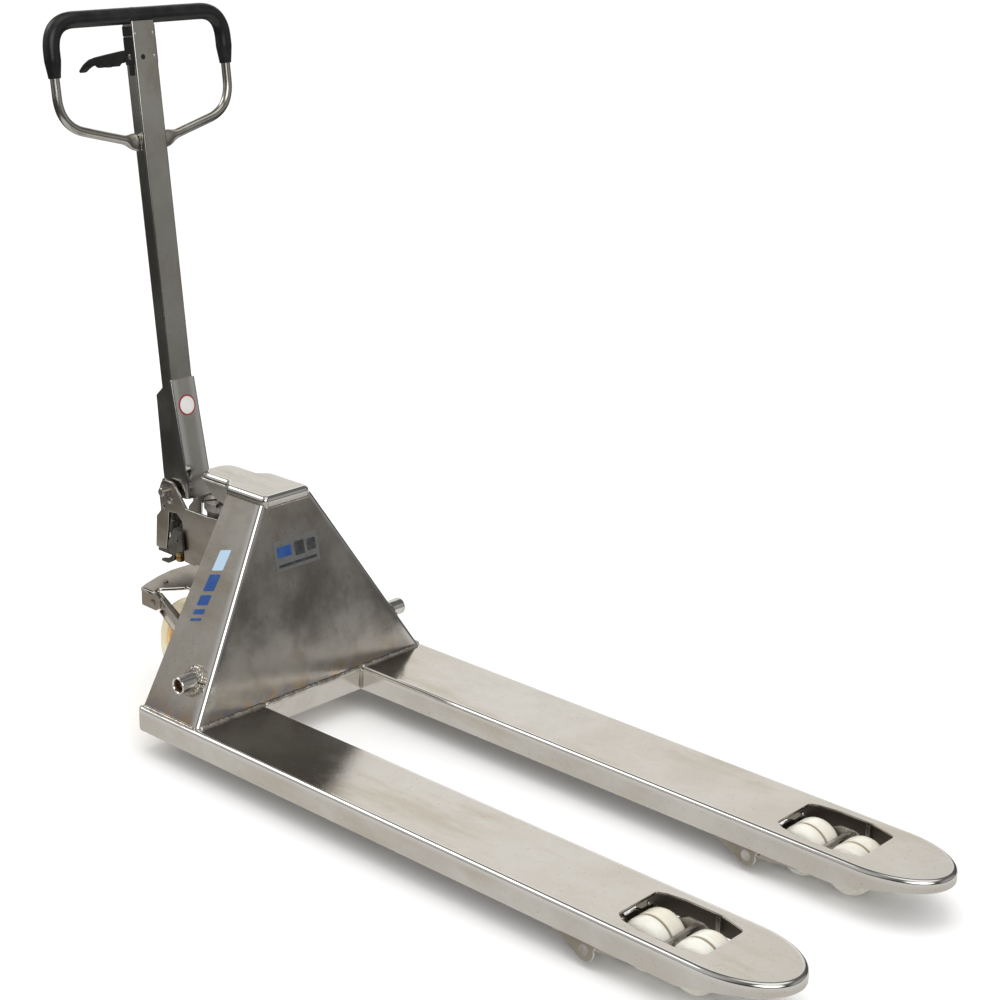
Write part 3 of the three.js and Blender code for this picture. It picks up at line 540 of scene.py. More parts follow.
# Each look is a material and the CAD material slot that it usually fills.
LOOKS = {
    "fork": (stainless("fork_steel", (0.74, 0.72, 0.68), (0.63, 0.60, 0.55), 0.13,
                       (3, 260, 260), 0.6, 0.10), "satin_steel"),
    "hood": (stainless("hood_steel", (0.68, 0.66, 0.62), (0.52, 0.49, 0.44), 0.15,
                       (160, 160, 4), 0.9, 0.50, (0.085, 0.125)), "satin_steel"),
    "cap": (stainless("cap_steel", (0.78, 0.77, 0.73), (0.62, 0.61, 0.56), 0.26,
                      (40, 40, 40), 0.7, 0.2), "satin_steel"),
    "tube": (stainless("tube_steel", (0.66, 0.65, 0.61), (0.50, 0.49, 0.45), 0.20,
                       (260, 260, 3), 0.5, 0.12), "satin_steel"),
    "plate": (stainless("plate_steel", (0.50, 0.47, 0.42), (0.34, 0.31, 0.27), 0.32,
                        (120, 120, 120), 0.8, 0.15), "satin_steel"),
    # The ears' steel is a darker copy of the sheet steel: painted shade for the ears' place under the forks.
    "ear": (stainless("ear_steel", (0.40, 0.37, 0.32), (0.24, 0.21, 0.17), 0.34,
                      (120, 120, 120), 0.9, 0.2), "satin_steel"),
    "weld": (machined("weld_steel", (0.74, 0.72, 0.68), (0.40, 0.36, 0.31), 0.20, 0.6), "satin_steel"),
    "bright": (machined("bright_steel", (0.80, 0.79, 0.77), (0.62, 0.60, 0.57), 0.10, 0.25),
               "bright_steel"),
    "bolt": (machined("bolt_steel", (0.55, 0.53, 0.50), (0.34, 0.32, 0.29), 0.25, 0.5), "bright_steel"),
    # The casting's colours are darkened close to black, beyond its own darker grey: painted shade for the
    # dark notch round the pump.
    "cast": (cast("cast_steel", (0.20, 0.19, 0.17), (0.09, 0.085, 0.08)), "cast_steel"),
    "spring": (machined("spring_steel", (0.30, 0.29, 0.28), (0.16, 0.15, 0.14), 0.30, 0.4),
               "spring_steel"),
    "brass": (machined("brass", (0.62, 0.45, 0.20), (0.40, 0.27, 0.11), 0.22, 0.4), "brass"),
    "rust": (cast("rusty_bore", (0.28, 0.15, 0.07), (0.12, 0.06, 0.03)), "bright_steel"),
    "white": (nylon("white_nylon", (0.72, 0.71, 0.65), (0.62, 0.59, 0.49), (0.30, 0.24, 0.16), 0.14),
              "white_nylon"),
    "cream": (nylon("cream_nylon", (0.76, 0.69, 0.50), (0.66, 0.57, 0.38), (0.42, 0.32, 0.18)),
              "cream_nylon"),
    "amber": (nylon("amber_nylon", (0.78, 0.50, 0.20), (0.60, 0.36, 0.12), (0.28, 0.17, 0.08)),
              "amber_nylon"),
    "rubber": (moulded("black_rubber", (0.012, 0.013, 0.014), (0.006, 0.0065, 0.007), 0.27),
               "black_rubber"),
    "plastic": (moulded("black_plastic", (0.011, 0.012, 0.012), (0.005, 0.006, 0.006), 0.30, 900),
                "black_plastic"),
    "blue": (printed("blue_film", (0.003, 0.045, 0.200), (0.008, 0.060, 0.220)), "satin_steel"),
    "sky": (printed("light_blue_film", (0.34, 0.47, 0.60), (0.38, 0.50, 0.60)), "satin_steel"),
    "silver": (printed("silver_film", (0.100, 0.102, 0.102), (0.075, 0.076, 0.074), 0.2),
               "satin_steel"),
    "ink": (printed("dark_film", (0.020, 0.022, 0.024), (0.05, 0.05, 0.05)), "satin_steel"),
    "paper": (printed("white_film", (0.58, 0.58, 0.57), (0.50, 0.50, 0.48)), "satin_steel"),
    "red": (printed("red_film", (0.26, 0.015, 0.02), (0.20, 0.02, 0.02)), "satin_steel"),
}


def weld(name, path, radius, seed, body="chassis", ripple=3.4):
    """A lumpy weld bead that follows the points of the path."""
    rng = random.Random(seed)
    spine = []
    for a, b in zip(path, path[1:]):
        a, b = Vector(a), Vector(b)
        steps = max(2, int((b - a).length / 1.1))
        spine += [a.lerp(b, i / steps) for i in range(steps)]
    spine.append(Vector(path[-1]))
    swell = [0.0]
    for _ in spine:
        swell.append(0.9 * swell[-1] + rng.uniform(-0.05, 0.05))

    def section(i):
        taper = min(1.0, 0.35 + 0.2 * min(i, len(spine) - 1 - i))
        bead = radius * taper * (1 + swell[i] + 0.13 * abs(math.sin(math.pi * i * 1.1 / ripple)))
        return bead, bead

    Shape().sweep(spine, section, 10).make(name, "weld", body, sharp=60)


# ---------------------------------------------------------------- forks
def fork_outline(inset):
    """The fork's plan as a closed loop about its own centre line, moved in by inset."""
    half = FORK["half"] - inset
    rear = FORK["rear"] + inset
    start = FORK["tip"] - FORK["tip_run"]
    reach = FORK["tip_run"] - inset
    corner = max(1.5, 9 - inset)
    long_side = [lerp(rear + corner, start, i / 40) for i in range(1, 40)]
    loop = arc(rear + corner, half - corner, corner, 90, 180, 6)
    loop += [(rear, y) for y in (20, 0, -20)]
    loop += arc(rear + corner, -half + corner, corner, 180, 270, 6)
    loop += [(x, -half) for x in long_side]
    for i in range(49):
        a = math.radians(lerp(-90, 90, i / 48))
        loop.append((start + reach * math.cos(a), half * math.sin(a)))
    loop += [(x, half) for x in reversed(long_side)]
    return loop


def wall_foot(x):
    """Height of the side wall's lower edge: it rises towards the tip and at the rear end."""
    rise = 42 + 13 * between(x, 1000, 1050) + 7 * between(x, 1050, 1095) + 3 * between(x, 1095, 1150)
    return rise + 9 * (1 - between(x, FORK["rear"], FORK["rear"] + 9))


WINDOW = [(870, -40, 4), (884, -50, 8), (914, -56, 10), (978, -56, 8), (1023, -44, 7),
          (1023, 44, 7), (978, 56, 8), (914, 56, 10), (884, 51, 8), (870, 44, 4)]
REAR_SLOT = box(-112, -17, -12, 17, 3)


def build_fork(name, side):
    shape = Shape(on_fork(side))
    top, fold, plate = FORK["top"], FORK["fold"], FORK["plate"]

    def level(inset, z, polish_and_painted_light=0.0):
        return shape.ring([(x, y, z) for x, y in fork_outline(inset)], polish_and_painted_light)

    def edge(inset, lift, polish_and_painted_light=0.0):
        """A ring that follows the wall's lower edge, lift above it."""
        return shape.ring([(x, y, wall_foot(x) + lift) for x, y in fork_outline(inset)], polish_and_painted_light)

    # Painted highlight along the fold: these rings carry polish 0.6 to 1.
    outer = [edge(1.0, 0), edge(0, 1), level(0, top - fold - 8), level(0, top - fold, 0.6)]
    outer += [level(inset, z, 1.0 if z < top else 0.7) for inset, z in fold_over(fold, top)]
    outer.append(level(fold + 3, top))
    # Painted shade inside the fork: the inner rings carry -1.
    inner = [level(plate + 5, top - plate, -1), level(plate + 1, top - plate - 1.5, -1),
             level(plate, top - plate - 5, -1), edge(plate, 0, -1)]
    # Round each hole: a painted highlight on the rim (0.5) and painted shade down its inside (-1).
    edge_steps = ((1.2, top, 0), (0.35, top - 0.35, 0.5), (0, top - 1.2, 0), (0, top - 2, -1),
                  (0, top - plate, -1))
    stacks = []
    for hole in (rounded(WINDOW, 4), rounded(REAR_SLOT, 3)):
        rings = [shape.ring([(x, y, z) for x, y in offset(anticlockwise(hole), -grow)], shine)
                 for grow, z, shine in edge_steps]
        shape.skin(rings)
        stacks.append(rings)
    shape.skin(outer)
    shape.skin(inner)
    shape.skin([inner[-1], outer[0]])
    shape.fill(outer[-1], *[rings[0] for rings in stacks])
    shape.fill(inner[0], *[rings[-1] for rings in stacks])
    shape.make(f"fork_{name}_shell", "fork", "chassis", f"fork_{name}")


def build_fork_details(name, side):
    """The ears with their rings and welds, the load arm's pin, and what the window shows."""
    half, plate = FORK["half"], FORK["plate"]
    pivot_x, pivot_z = LOAD["pivot_x"], LOAD["pivot_z"]
    ear = [(781, 46), (782, 43)] + arc(pivot_x, pivot_z, 17.5, 222, 375, 18) + [(861, 43), (861, 46)]
    ears = Shape(on_fork(side))
    for low in (-half + 0.2, half - plate - 0.2):
        # The ears' rounded edges carry a painted highlight (polish 0.6).
        ears.plate(ear, low, low + plate, 0.9, side_view, polish_and_painted_light=0.6)
    ears.make(f"fork_ears_{name}", "ear", "chassis")
    pin = Shape(on_fork(side)).lathe((pivot_x, 0, pivot_z), "Y", pin_profile(half - 0.1, 9.6, 0.8, 1), 48)
    pin.make(f"load_arm_pin_{name}_turned", "bolt", "chassis", f"load_arm_pin_{name}")
    ring_profile = [(0.2, 10.4), (1.0, 11.0), (1.4, 13.5), (1.0, 16.4), (-0.4, 17.2), (-0.4, 10.4),
                    (0.2, 10.4)]
    for edge, tag in ((1, "outer"), (-1, "inner")):
        y = (half - 1.6) * edge + FORK["centre"] * side
        ring = Shape().lathe((pivot_x, y, pivot_z), "Y", flipped(ring_profile, edge), 48)
        ring.make(f"ear_ring_{name}_{tag}", "plate", "chassis")
        for end, xs in (("rear", (776, 785, 800)), ("front", (850, 858, 866))):
            path = [(x, y, z) for x, z in zip(xs, (44, 41.5, 43.5))]
            weld(f"ear_weld_{name}_{tag}_{end}", path, 1.4, xs[0] + edge)
    tail = Shape(on_fork(side))
    for y in (-30, 30):
        tail.lathe((869, y, 72), "X", [(-2, 0), (-2, 3.4), (0.4, 3.4), (1.6, 2.4), (1.8, 0)], 16)
    tail.plate(rounded(box(960, 66.5, 967, 69.5, 1), 2), 44, 80, 0.4, plan_view)
    tail.make(f"window_details_{name}", "bolt", "chassis")


# ---------------------------------------------------------------- hood
def hood_width(z):
    """Half the hood's width at a height."""
    return lerp(HOOD["foot_half"], HOOD["head_half"], hood_share(z))


def hood_share(z):
    """0 at the hood's foot, 1 at its head."""
    return (z - HOOD["foot"]) / (HOOD["head"] - HOOD["foot"])


def hood_section(z, inset):
    """One level of the folded hood, and how near each of its points is to a fold."""
    t = hood_share(z)
    front = -HOOD["lean"] * t - inset
    rear = lerp(HOOD["rear_foot"], HOOD["rear_head"], t)
    half = hood_width(z) - inset * 1.18
    fold = HOOD["fold"] - inset
    cheek = [(lerp(rear, front - fold, i / 10), half) for i in range(11)]
    corner = arc(front - fold, half - fold, fold, 90, 0, 8)[1:]
    face = [(front, lerp(half - fold, fold - half, i / 24)) for i in range(1, 24)]
    points = cheek + corner + face + [(x, -y) for x, y in reversed(cheek + corner)]
    middle = len(cheek) - 1 + len(corner) / 2
    nearness = []
    for k in range(len(points)):
        away = min(abs(k - middle), abs(k - (len(points) - 1 - middle)))
        nearness.append(1.0 - between(away, len(corner) / 2 - 0.5, len(corner) / 2 + 1))
    return points, nearness


def build_hood():
    shape = Shape()
    skins = []
    for inset in (0, HOOD["plate"]):
        rings = []
        for i in range(HOOD["rows"] + 1):
            z = lerp(HOOD["foot"], HOOD["head"], i / HOOD["rows"])
            points, nearness = hood_section(z, inset)
            ring = shape.ring([(x, y, z) for x, y in points])
            # Points near the corner folds carry a painted highlight; the inner skin carries -1, painted shade
            # inside the hood.
            shape.polish_and_painted_light[ring[0]:] = nearness if inset == 0 else [-1.0] * len(ring)
            rings.append(ring)
        skins.append(rings)
    shape.shell(*skins)
    shape.make("hood_shell", "hood", "chassis", "hood_front_panel", "hood_side_panel_left",
               "hood_side_panel_right", sharp=50)
    foot = HOOD["foot"]
    for name, side in SIDES:
        edge = (HOOD["foot_half"] + 1.5) * side
        path = [(HOOD["rear_foot"], edge, foot), (-9, edge, foot), (-2, edge - 5 * side, foot)]
        weld(f"hood_side_weld_{name}", path, 3.4, 5 + side)
        inner_edge = (FORK["centre"] - FORK["half"]) * side
        path = [(1.5, edge - 8 * side, foot), (1.5, inner_edge, foot)]
        weld(f"hood_front_weld_{name}", path, 3.6, 9 + side)


def build_cross_beam():
    """Folded beam under the hood's foot, between the forks."""
    reach = FORK["centre"] - FORK["half"] - 0.4
    section = rounded([(-1, 42, 0.6), (1, 84.6, 3), (-60, 84.6, 1), (-60, 80, 1), (-5, 80, 2),
                       (-5.5, 42, 0.6)], 4)
    shape = Shape().plate(section, -reach, reach, 0.4, side_view)
    shape.make("cross_beam_folded", "fork", "chassis", "cross_beam")
    weld("cross_beam_weld", [(2, -reach, 84.5), (2, reach, 84.5)], 3.8, 21)
    for name, side in SIDES:
        y = (reach - 0.5) * side
        weld(f"beam_end_weld_{name}", [(1, y, 82), (1, y, 45)], 2.4, 24 + side)


def cap_outline(inset):
    front, step, rear = CAP["front"] - inset, CAP["step"], CAP["rear"] + inset
    half, tongue = CAP["half"] - inset, CAP["tongue"] - inset
    corners = [(front, half, 11), (step, half, 14), (step - 18, tongue, 16), (rear, tongue, 27)]
    corners += [(x, -y, r) for x, y, r in reversed(corners)]
    return rounded([(x, y, max(1.5, r - inset)) for x, y, r in corners], 6)


def skirt_foot(x):
    """The cap's skirt hangs deeper where it is welded to the hood than round the tongue."""
    return lerp(414, CAP["skirt"], between(x, CAP["step"] - 6, CAP["step"] + 2))


def build_cap():
    """Pressed cap with a rolled rim, its tongue over the pump and the tongue's gussets."""
    fold, top = CAP["fold"], CAP["top"]
    shape = Shape()

    def level(inset, z, polish_and_painted_light=0.0):
        return shape.ring([(x, y, z) for x, y in cap_outline(inset)], polish_and_painted_light)

    def edge(inset, lift):
        return shape.ring([(x, y, skirt_foot(x) + lift) for x, y in cap_outline(inset)])

    # The rolled rim carries a painted highlight (polish 0.5 to 1).
    outer = [edge(1, 1), edge(0, 0), level(0, top - fold, 0.5)]
    outer += [level(inset, z, 1.0 if z < top else 0.5) for inset, z in fold_over(fold, top)]
    outer.append(level(fold + 3, top))
    inner = [level(6, top - 7), level(6, top - 10)]
    shape.skin(outer)
    shape.skin(inner)
    shape.skin([inner[1], edge(4, 0), outer[0]])
    shape.fill(outer[-1])
    shape.fill(inner[0])
    gusset = rounded([(-252, 414, 1), (-166, 414, 1), (-166, 396, 2), (-187, 378, 5), (-216, 384, 6)], 4)
    for _, side in SIDES:
        shape.plate(gusset, (CAP["tongue"] - 6.5) * side, (CAP["tongue"] - 1.5) * side, 0.8, side_view)
    shape.make("hood_cap_pressed", "cap", "chassis", "hood_cap")
    for name, side in SIDES:
        y = (CAP["half"] + 0.5) * side
        weld(f"cap_side_weld_{name}", [(CAP["step"], y, 405), (-76, y, 405)], 2.0, 31 + side)
        y = (CAP["tongue"] - 1) * side
        weld(f"gusset_weld_{name}", [(-248, y, 412), (-170, y, 413)], 1.8, 35 + side)
    front = CAP["front"] - 1
    weld("cap_front_weld", [(front, 50, 405), (front, -50, 405)], 2.2, 38)


def build_bosses():
    """Tube stubs where the torsion shaft comes through the side panels, each in a thick weld."""
    end = SHAFT["end"]
    tube = [(212, 11.2), (end - 1.5, 11.2), (end, 12.4), (end, 14), (end - 1.4, 15), (236, 15),
            (212, 15), (212, 11.2)]
    bore = [(212, 11.0), (end - 4, 11.0), (end - 4, 10.0), (212, 10.0), (212, 11.0)]
    for name, side in SIDES:
        for profile, segments, tag, look, replaced in (
                (tube, 64, "turned", "bright", (f"shaft_boss_{name}",)), (bore, 48, "bore", "rust", ())):
            shape = Shape().lathe((SHAFT["x"], 0, SHAFT["z"]), "Y", flipped(profile, side), segments)
            shape.make(f"shaft_boss_{name}_{tag}", look, "chassis", *replaced)
        collar = []
        for x, z in arc(SHAFT["x"], SHAFT["z"], 18, 0, 360, 24):
            collar.append((x, (hood_width(z) + 2.5) * side, z))
        weld(f"boss_weld_{name}", collar, 5.6, 41 + side, ripple=7)


# ---------------------------------------------------------------- plain marks in place of printing
def on_side_panel(u, v, w):
    """u along the truck, v up, w out from the right side panel."""
    return at(u, -(hood_width(v) + w), v)


def on_front_panel(u, v, w):
    """u across the truck, v up, w out from the front panel."""
    return at(-HOOD["lean"] * hood_share(v) + w, u, v)


def film(place, corners, name, look, low=0.1, high=0.35):
    shape = Shape(place).plate(rounded(corners, 3), low, high, 0.08, plan_view, steps=1)
    shape.make(name, look, "chassis")


def build_marks():
    """Plain bars where the truck carries printing; none of them is a sign or word."""
    stripes = ((332, 300, "sky"), (294, 268, "blue"), (262, 246, "blue"), (240, 232, "blue"),
               (226, 222, "blue"))
    for i, (high, low, look) in enumerate(stripes):
        foot, head = (-104 + (z - 222) * 0.02 for z in (low, high))
        corners = [(foot - 11, low, 2), (foot + 13, low + 6, 2), (head + 13, high + 6, 2),
                   (head - 11, high, 2)]
        film(on_side_panel, corners, f"side_stripe_{i}", look)
    film(on_front_panel, box(-45, 293, 56, 345, 3), "front_plate_film", "silver")
    bars = ((-38, 316, -6, 334, "blue"), (2, 312, 24, 336, "ink"), (30, 314, 50, 334, "ink"),
            (-38, 299, 50, 304, "ink"))
    for i, (*corners, look) in enumerate(bars):
        film(on_front_panel, box(*corners, 2), f"front_bar_{i}", look, 0.3, 0.5)


# ---------------------------------------------------------------- linkage and wheels
def build_bearing_plate():
    """Crescent over the steering wheels, with a lug, a rear flange and a pin on each side."""
    rear = [(-268, 60, 8), (-282, 79, 12), (-297, 97, 4), (-288, 118, 2), (-322, 118, 3),
            (-331, 100, 12), (-346, 60, 40), (-354, 24, 40)]
    rear += [(u, -v, r) for u, v, r in reversed(rear)]
    crescent = rounded(rear, 5) + arc(STEER["x"], 0, 62, 285, 435, 30)
    bore = arc(STEER["x"], 0, 34, 0, 350, 35)
    # The rounded edges of the plate, lugs and flanges carry a painted highlight (polish 0.5 to 0.8).
    shape = Shape().plate(crescent, 203, 209, 1.6, plan_view, holes=[bore], polish_and_painted_light=0.8)
    lug = rounded([(-320, 177, 3), (-320, 209, 3), (-283, 209, 6), (-270, 198, 6), (-270, 184, 8),
                   (-280, 176, 8)], 5)
    flange = rounded([(112, 178, 3), (112, 208, 2), (99, 208, 2), (103, 178, 3)], 3)
    pin = [(97, 0), (97, 6), (119.0, 6), (119.6, 5), (119.8, 2.2), (119.0, 1.6), (119.0, 0)]
    for _, side in SIDES:
        shape.plate(lug, 112 * side, 118 * side, 1.2, side_view, polish_and_painted_light=0.6)
        shape.plate(flange, -326, -321, 1.0, lambda u, v, w: (w, u * side, v), polish_and_painted_light=0.5)
        shape.lathe((ARM_PIN.x, 0, ARM_PIN.y), "Y", flipped(pin, side), 32)
    shape.lathe((-314, -67, 209), "Z", [(-0.5, 0), (-0.5, 4.5), (1.5, 4.5), (2.4, 3.4), (2.4, 0)], 24)
    shape.make("bearing_plate_pressed", "plate", "carrier", "bearing_plate")


def build_rear_arms():
    """Arms that splay from the plate's pins down and out to the torsion shaft."""
    run = Vector((SHAFT["x"], SHAFT["z"])) - ARM_PIN
    length = run.length
    along = run.normalized()
    across = Vector((-along.y, along.x))
    upper_jaw = [(10, 14), (-2, 13.5), (-11, 11), (-11, 7), (0, 7), (9, 7), (12, 4)]
    outline = arc(length, 0, 22, -90, 90, 16) + upper_jaw + [(u, -v) for u, v in reversed(upper_jaw)]
    for name, side in SIDES:
        def splayed(u, v, w):
            spot = ARM_PIN + along * u + across * v
            return at(spot.x, (97 + w + 0.3187 * (spot.x - ARM_PIN.x)) * side, spot.y)

        # The arms' rounded edges and rims carry a painted highlight (polish 0.7 and 1).
        shape = Shape(splayed).plate(outline, 0, 8, 1.4, plan_view, polish_and_painted_light=0.7)
        for edge in (1, -1):
            rim = [(14, 14.5 * edge), (length - 8, 21 * edge), (length - 8, 17.5 * edge), (14, 11 * edge)]
            shape.plate(rim, 6, 13, 1.0, plan_view, polish_and_painted_light=1.0)
        shape.make(f"rear_arm_{name}_pressed", "plate", "rocker", f"rear_arm_{name}")


def build_steering_wheels():
    x, outer, z = STEER["x"], STEER["outer"], STEER["z"]
    tread = symmetric([(-24, 76.2), (-25, 80), (-25, 90), (-23, 95), (-18, 98.6), (-12, 99.9),
                       (-4, 100)], closed=True)
    web = symmetric([(-25, 10.6), (-25, 24), (-23.5, 26), (-14, 29), (-13, 32), (-13, 60), (-14, 64),
                     (-22, 67.5), (-24, 69), (-24, 75.8)], closed=True)
    for name, side in SIDES:
        y = (STEER["inner"] + outer) / 2 * side
        tyre = Shape().lathe((x, y, z), "Y", tread, 96)
        tyre.make(f"steer_tread_{name}", "cream", f"steer_wheel_{name}", f"steer_tyre_{name}")
        hub = Shape().lathe((x, y, z), "Y", web, 96)
        for bolt_x, bolt_z in arc(x, z, 46, 0, 300, 5):
            hub.lathe((bolt_x, y, bolt_z), "Y", pin_profile(14.5, 8.5, 1, 1.5), 20)
        hub.make(f"steer_web_{name}", "amber", f"steer_wheel_{name}", f"steer_hub_{name}")
    axle = symmetric([(-outer - 7, 0), (-outer - 7, 12), (-outer - 5, 15), (-outer - 1, 15.6),
                      (-outer - 1, 9.9)])
    axle_shape = Shape().lathe((x, 0, z), "Y", axle, 48)
    axle_shape.make("wheel_axle_turned", "bolt", "pump", "wheel_axle")


def build_load_rollers():
    """Each roller has a groove a little off its middle, coloured darker."""
    half = LOAD["half"]
    groove = [(-6.4, 39.0), (-5.6, 36.4), (-3.4, 36.4), (-2.6, 39.0)]
    near = [(-half, 8.6), (-half, 26), (1 - half, 29), (4 - half, 34), (8 - half, 37.4),
            (14 - half, 39.4), (20 - half, 39.9), (-8, 39.9)]
    far = [(-1, 39.9), (half - 17, 39.9), (half - 10, 38.8), (half - 5, 36), (half - 1.4, 31.5),
           (half, 28), (half, 8.6)]
    profile = near + groove + far + near[:1]
    marked = range(len(near), len(near) + len(groove))
    for name, side in SIDES:
        for place, step in (("front", LOAD["pitch"]), ("rear", -LOAD["pitch"])):
            centre = (LOAD["bogie_x"] + step, FORK["centre"] * side, LOAD["bogie_z"])
            node = f"load_roller_{name}_{place}"
            Shape().lathe(centre, "Y", profile, 80, marked).make(f"{node}_turned", "white", node, node)
            axle = Shape().lathe(centre, "Y", pin_profile(43, 7.9, 0.8, 1.5), 40)
            node = f"roller_axle_{name}_{place}"
            axle.make(f"{node}_turned", "bolt", f"bogie_{name}", node)
        build_bogie(name, side)
        soften(f"load_arm_{name}", "plate", f"load_arm_{name}", 0.8)
        soften(f"push_rod_{name}", "bolt", f"push_rod_{name}", 0.7)
        soften(f"crank_{name}", "plate", "rocker", 0.8)
    shaft = Shape().lathe((SHAFT["x"], 0, SHAFT["z"]), "Y", pin_profile(250, 9.9, 1, 0.9), 48)
    shaft.make("torsion_shaft_turned", "bolt", "rocker", "torsion_shaft")


def build_bogie(name, side):
    """Two link plates beside the rollers, joined by a low bar in the gap between them."""
    x, y = LOAD["bogie_x"], FORK["centre"] * side
    outline = rounded([(x - 58, 34, 8), (x - 50, 25, 6), (x + 50, 25, 6), (x + 58, 34, 8),
                       (x + 56, 52, 8), (x + 14, 72, 8), (x - 14, 72, 8), (x - 56, 52, 8)], 4)
    shape = Shape()
    for low in (-42, 37):
        shape.plate(outline, y + low, y + low + 5, 1.0, side_view, polish_and_painted_light=0.5)
    shape.plate(rounded(box(x - 4, 60, x + 4, 66, 1.5), 3), y - 38, y + 38, 0.5, side_view)
    shape.make(f"bogie_{name}_plates", "bolt", f"bogie_{name}", f"bogie_{name}", slot="satin_steel")


# ---------------------------------------------------------------- pump unit
EAR = [(-294, 245, 3), (-268, 244, 4), (-238, 256, 6), (-205, 262, 3), (-199, 348, 3),
       (-228, 346, 4), (-288, 346, 5), (-322, 387, 20), (-352, 387, 17), (-361, 364, 14),
       (-356, 328, 6), (-369, 314, 4), (-373, 254, 3), (-344, 256, 2), (-337, 297, 2),
       (-334, 329, 2), (-314, 332, 4), (-298, 320, 4), (-296, 300, 2)]

# Turned upright parts: node, look, body, x of the axis, (height, radius) profile.
TURNED = (
    ("pump_cylinder", "cast", "pump", STEER["x"],
     [(217.6, 18.8), (217.6, 32), (218.6, 33), (350, 33), (351, 34.5), (355.5, 34.5), (356, 33.5),
      (356, 18.8), (217.6, 18.8)]),
    ("thrust_bearing", "bright", "carrier", STEER["x"],
     [(209.4, 33.2), (209.4, 43), (210, 43.8), (212.4, 43.8), (213, 42.6), (213.4, 43.8),
      (216.2, 43.8), (216.9, 43), (216.9, 33.2), (209.4, 33.2)]),
    ("lift_ram", "bright", "chassis", STEER["x"],
     [(226, 0), (226, 17), (227, 18), (410, 18), (410, 0)]),
    ("plunger_housing", "cast", "pump", PLUNGER_X,
     [(262.4, 6.6), (262.4, 13), (263.4, 14), (300, 14), (301, 12.6), (303, 12.6), (304, 14),
      (320.6, 14), (322, 12.8), (322, 6.6), (262.4, 6.6)]),
    ("plunger", "bright", "plunger", PLUNGER_X,
     [(275, 0), (275, 5.2), (276, 6), (364, 6), (364.4, 9), (365, 9.4), (368.2, 9.4), (368.9, 8.6),
      (369, 0)]),
    ("release_valve", "brass", "pump", -312,
     [(262.4, 0), (262.4, 8.2), (263, 9), (284, 9), (285, 7.4), (288, 7.4), (289, 9), (297, 9),
      (298, 8), (300, 5), (300, 0)]),
)
SPRING = dict(turns=6.5, low=323.4, high=362.4, foot=322.3, radius=7.8, wire=1.05)


def build_pump():
    cotter_hole = arc(-347, 337, 3.4, 0, 345, 23)
    for name, side in SIDES:
        # The ears' rounded edges carry a painted highlight (polish 0.6).
        shape = Shape().plate(rounded(EAR, 6), 34 * side, 40 * side, 1.1, side_view,
                              holes=[cotter_hole], polish_and_painted_light=0.6)
        shape.make(f"tiller_ear_{name}_cut", "plate", "pump", f"tiller_ear_{name}")
    soften("pump_base", "cast", "pump", 1.5)
    soften("pump_body", "cast", "pump", 2.0)
    soften("gland_nut", "bolt", "pump", 0.9)
    soften("release_lever", "cast", "release_lever", 1.0)
    for node, look, body, x, profile in TURNED:
        Shape().lathe((x, 0, 0), "Z", profile, 64).make(f"{node}_turned", look, body, node)


def build_plunger_spring():
    path = []
    for i in range(240):
        t = i / 239
        a = 2 * math.pi * SPRING["turns"] * t
        path.append((PLUNGER_X + SPRING["radius"] * math.cos(a), SPRING["radius"] * math.sin(a),
                     lerp(SPRING["low"], SPRING["high"], t)))
    spring = Shape().sweep(path, lambda i: (SPRING["wire"], SPRING["wire"]), 10)
    piece = spring.make("plunger_spring_wound", "spring", "pump", "plunger_spring", sharp=80)
    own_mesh(piece)


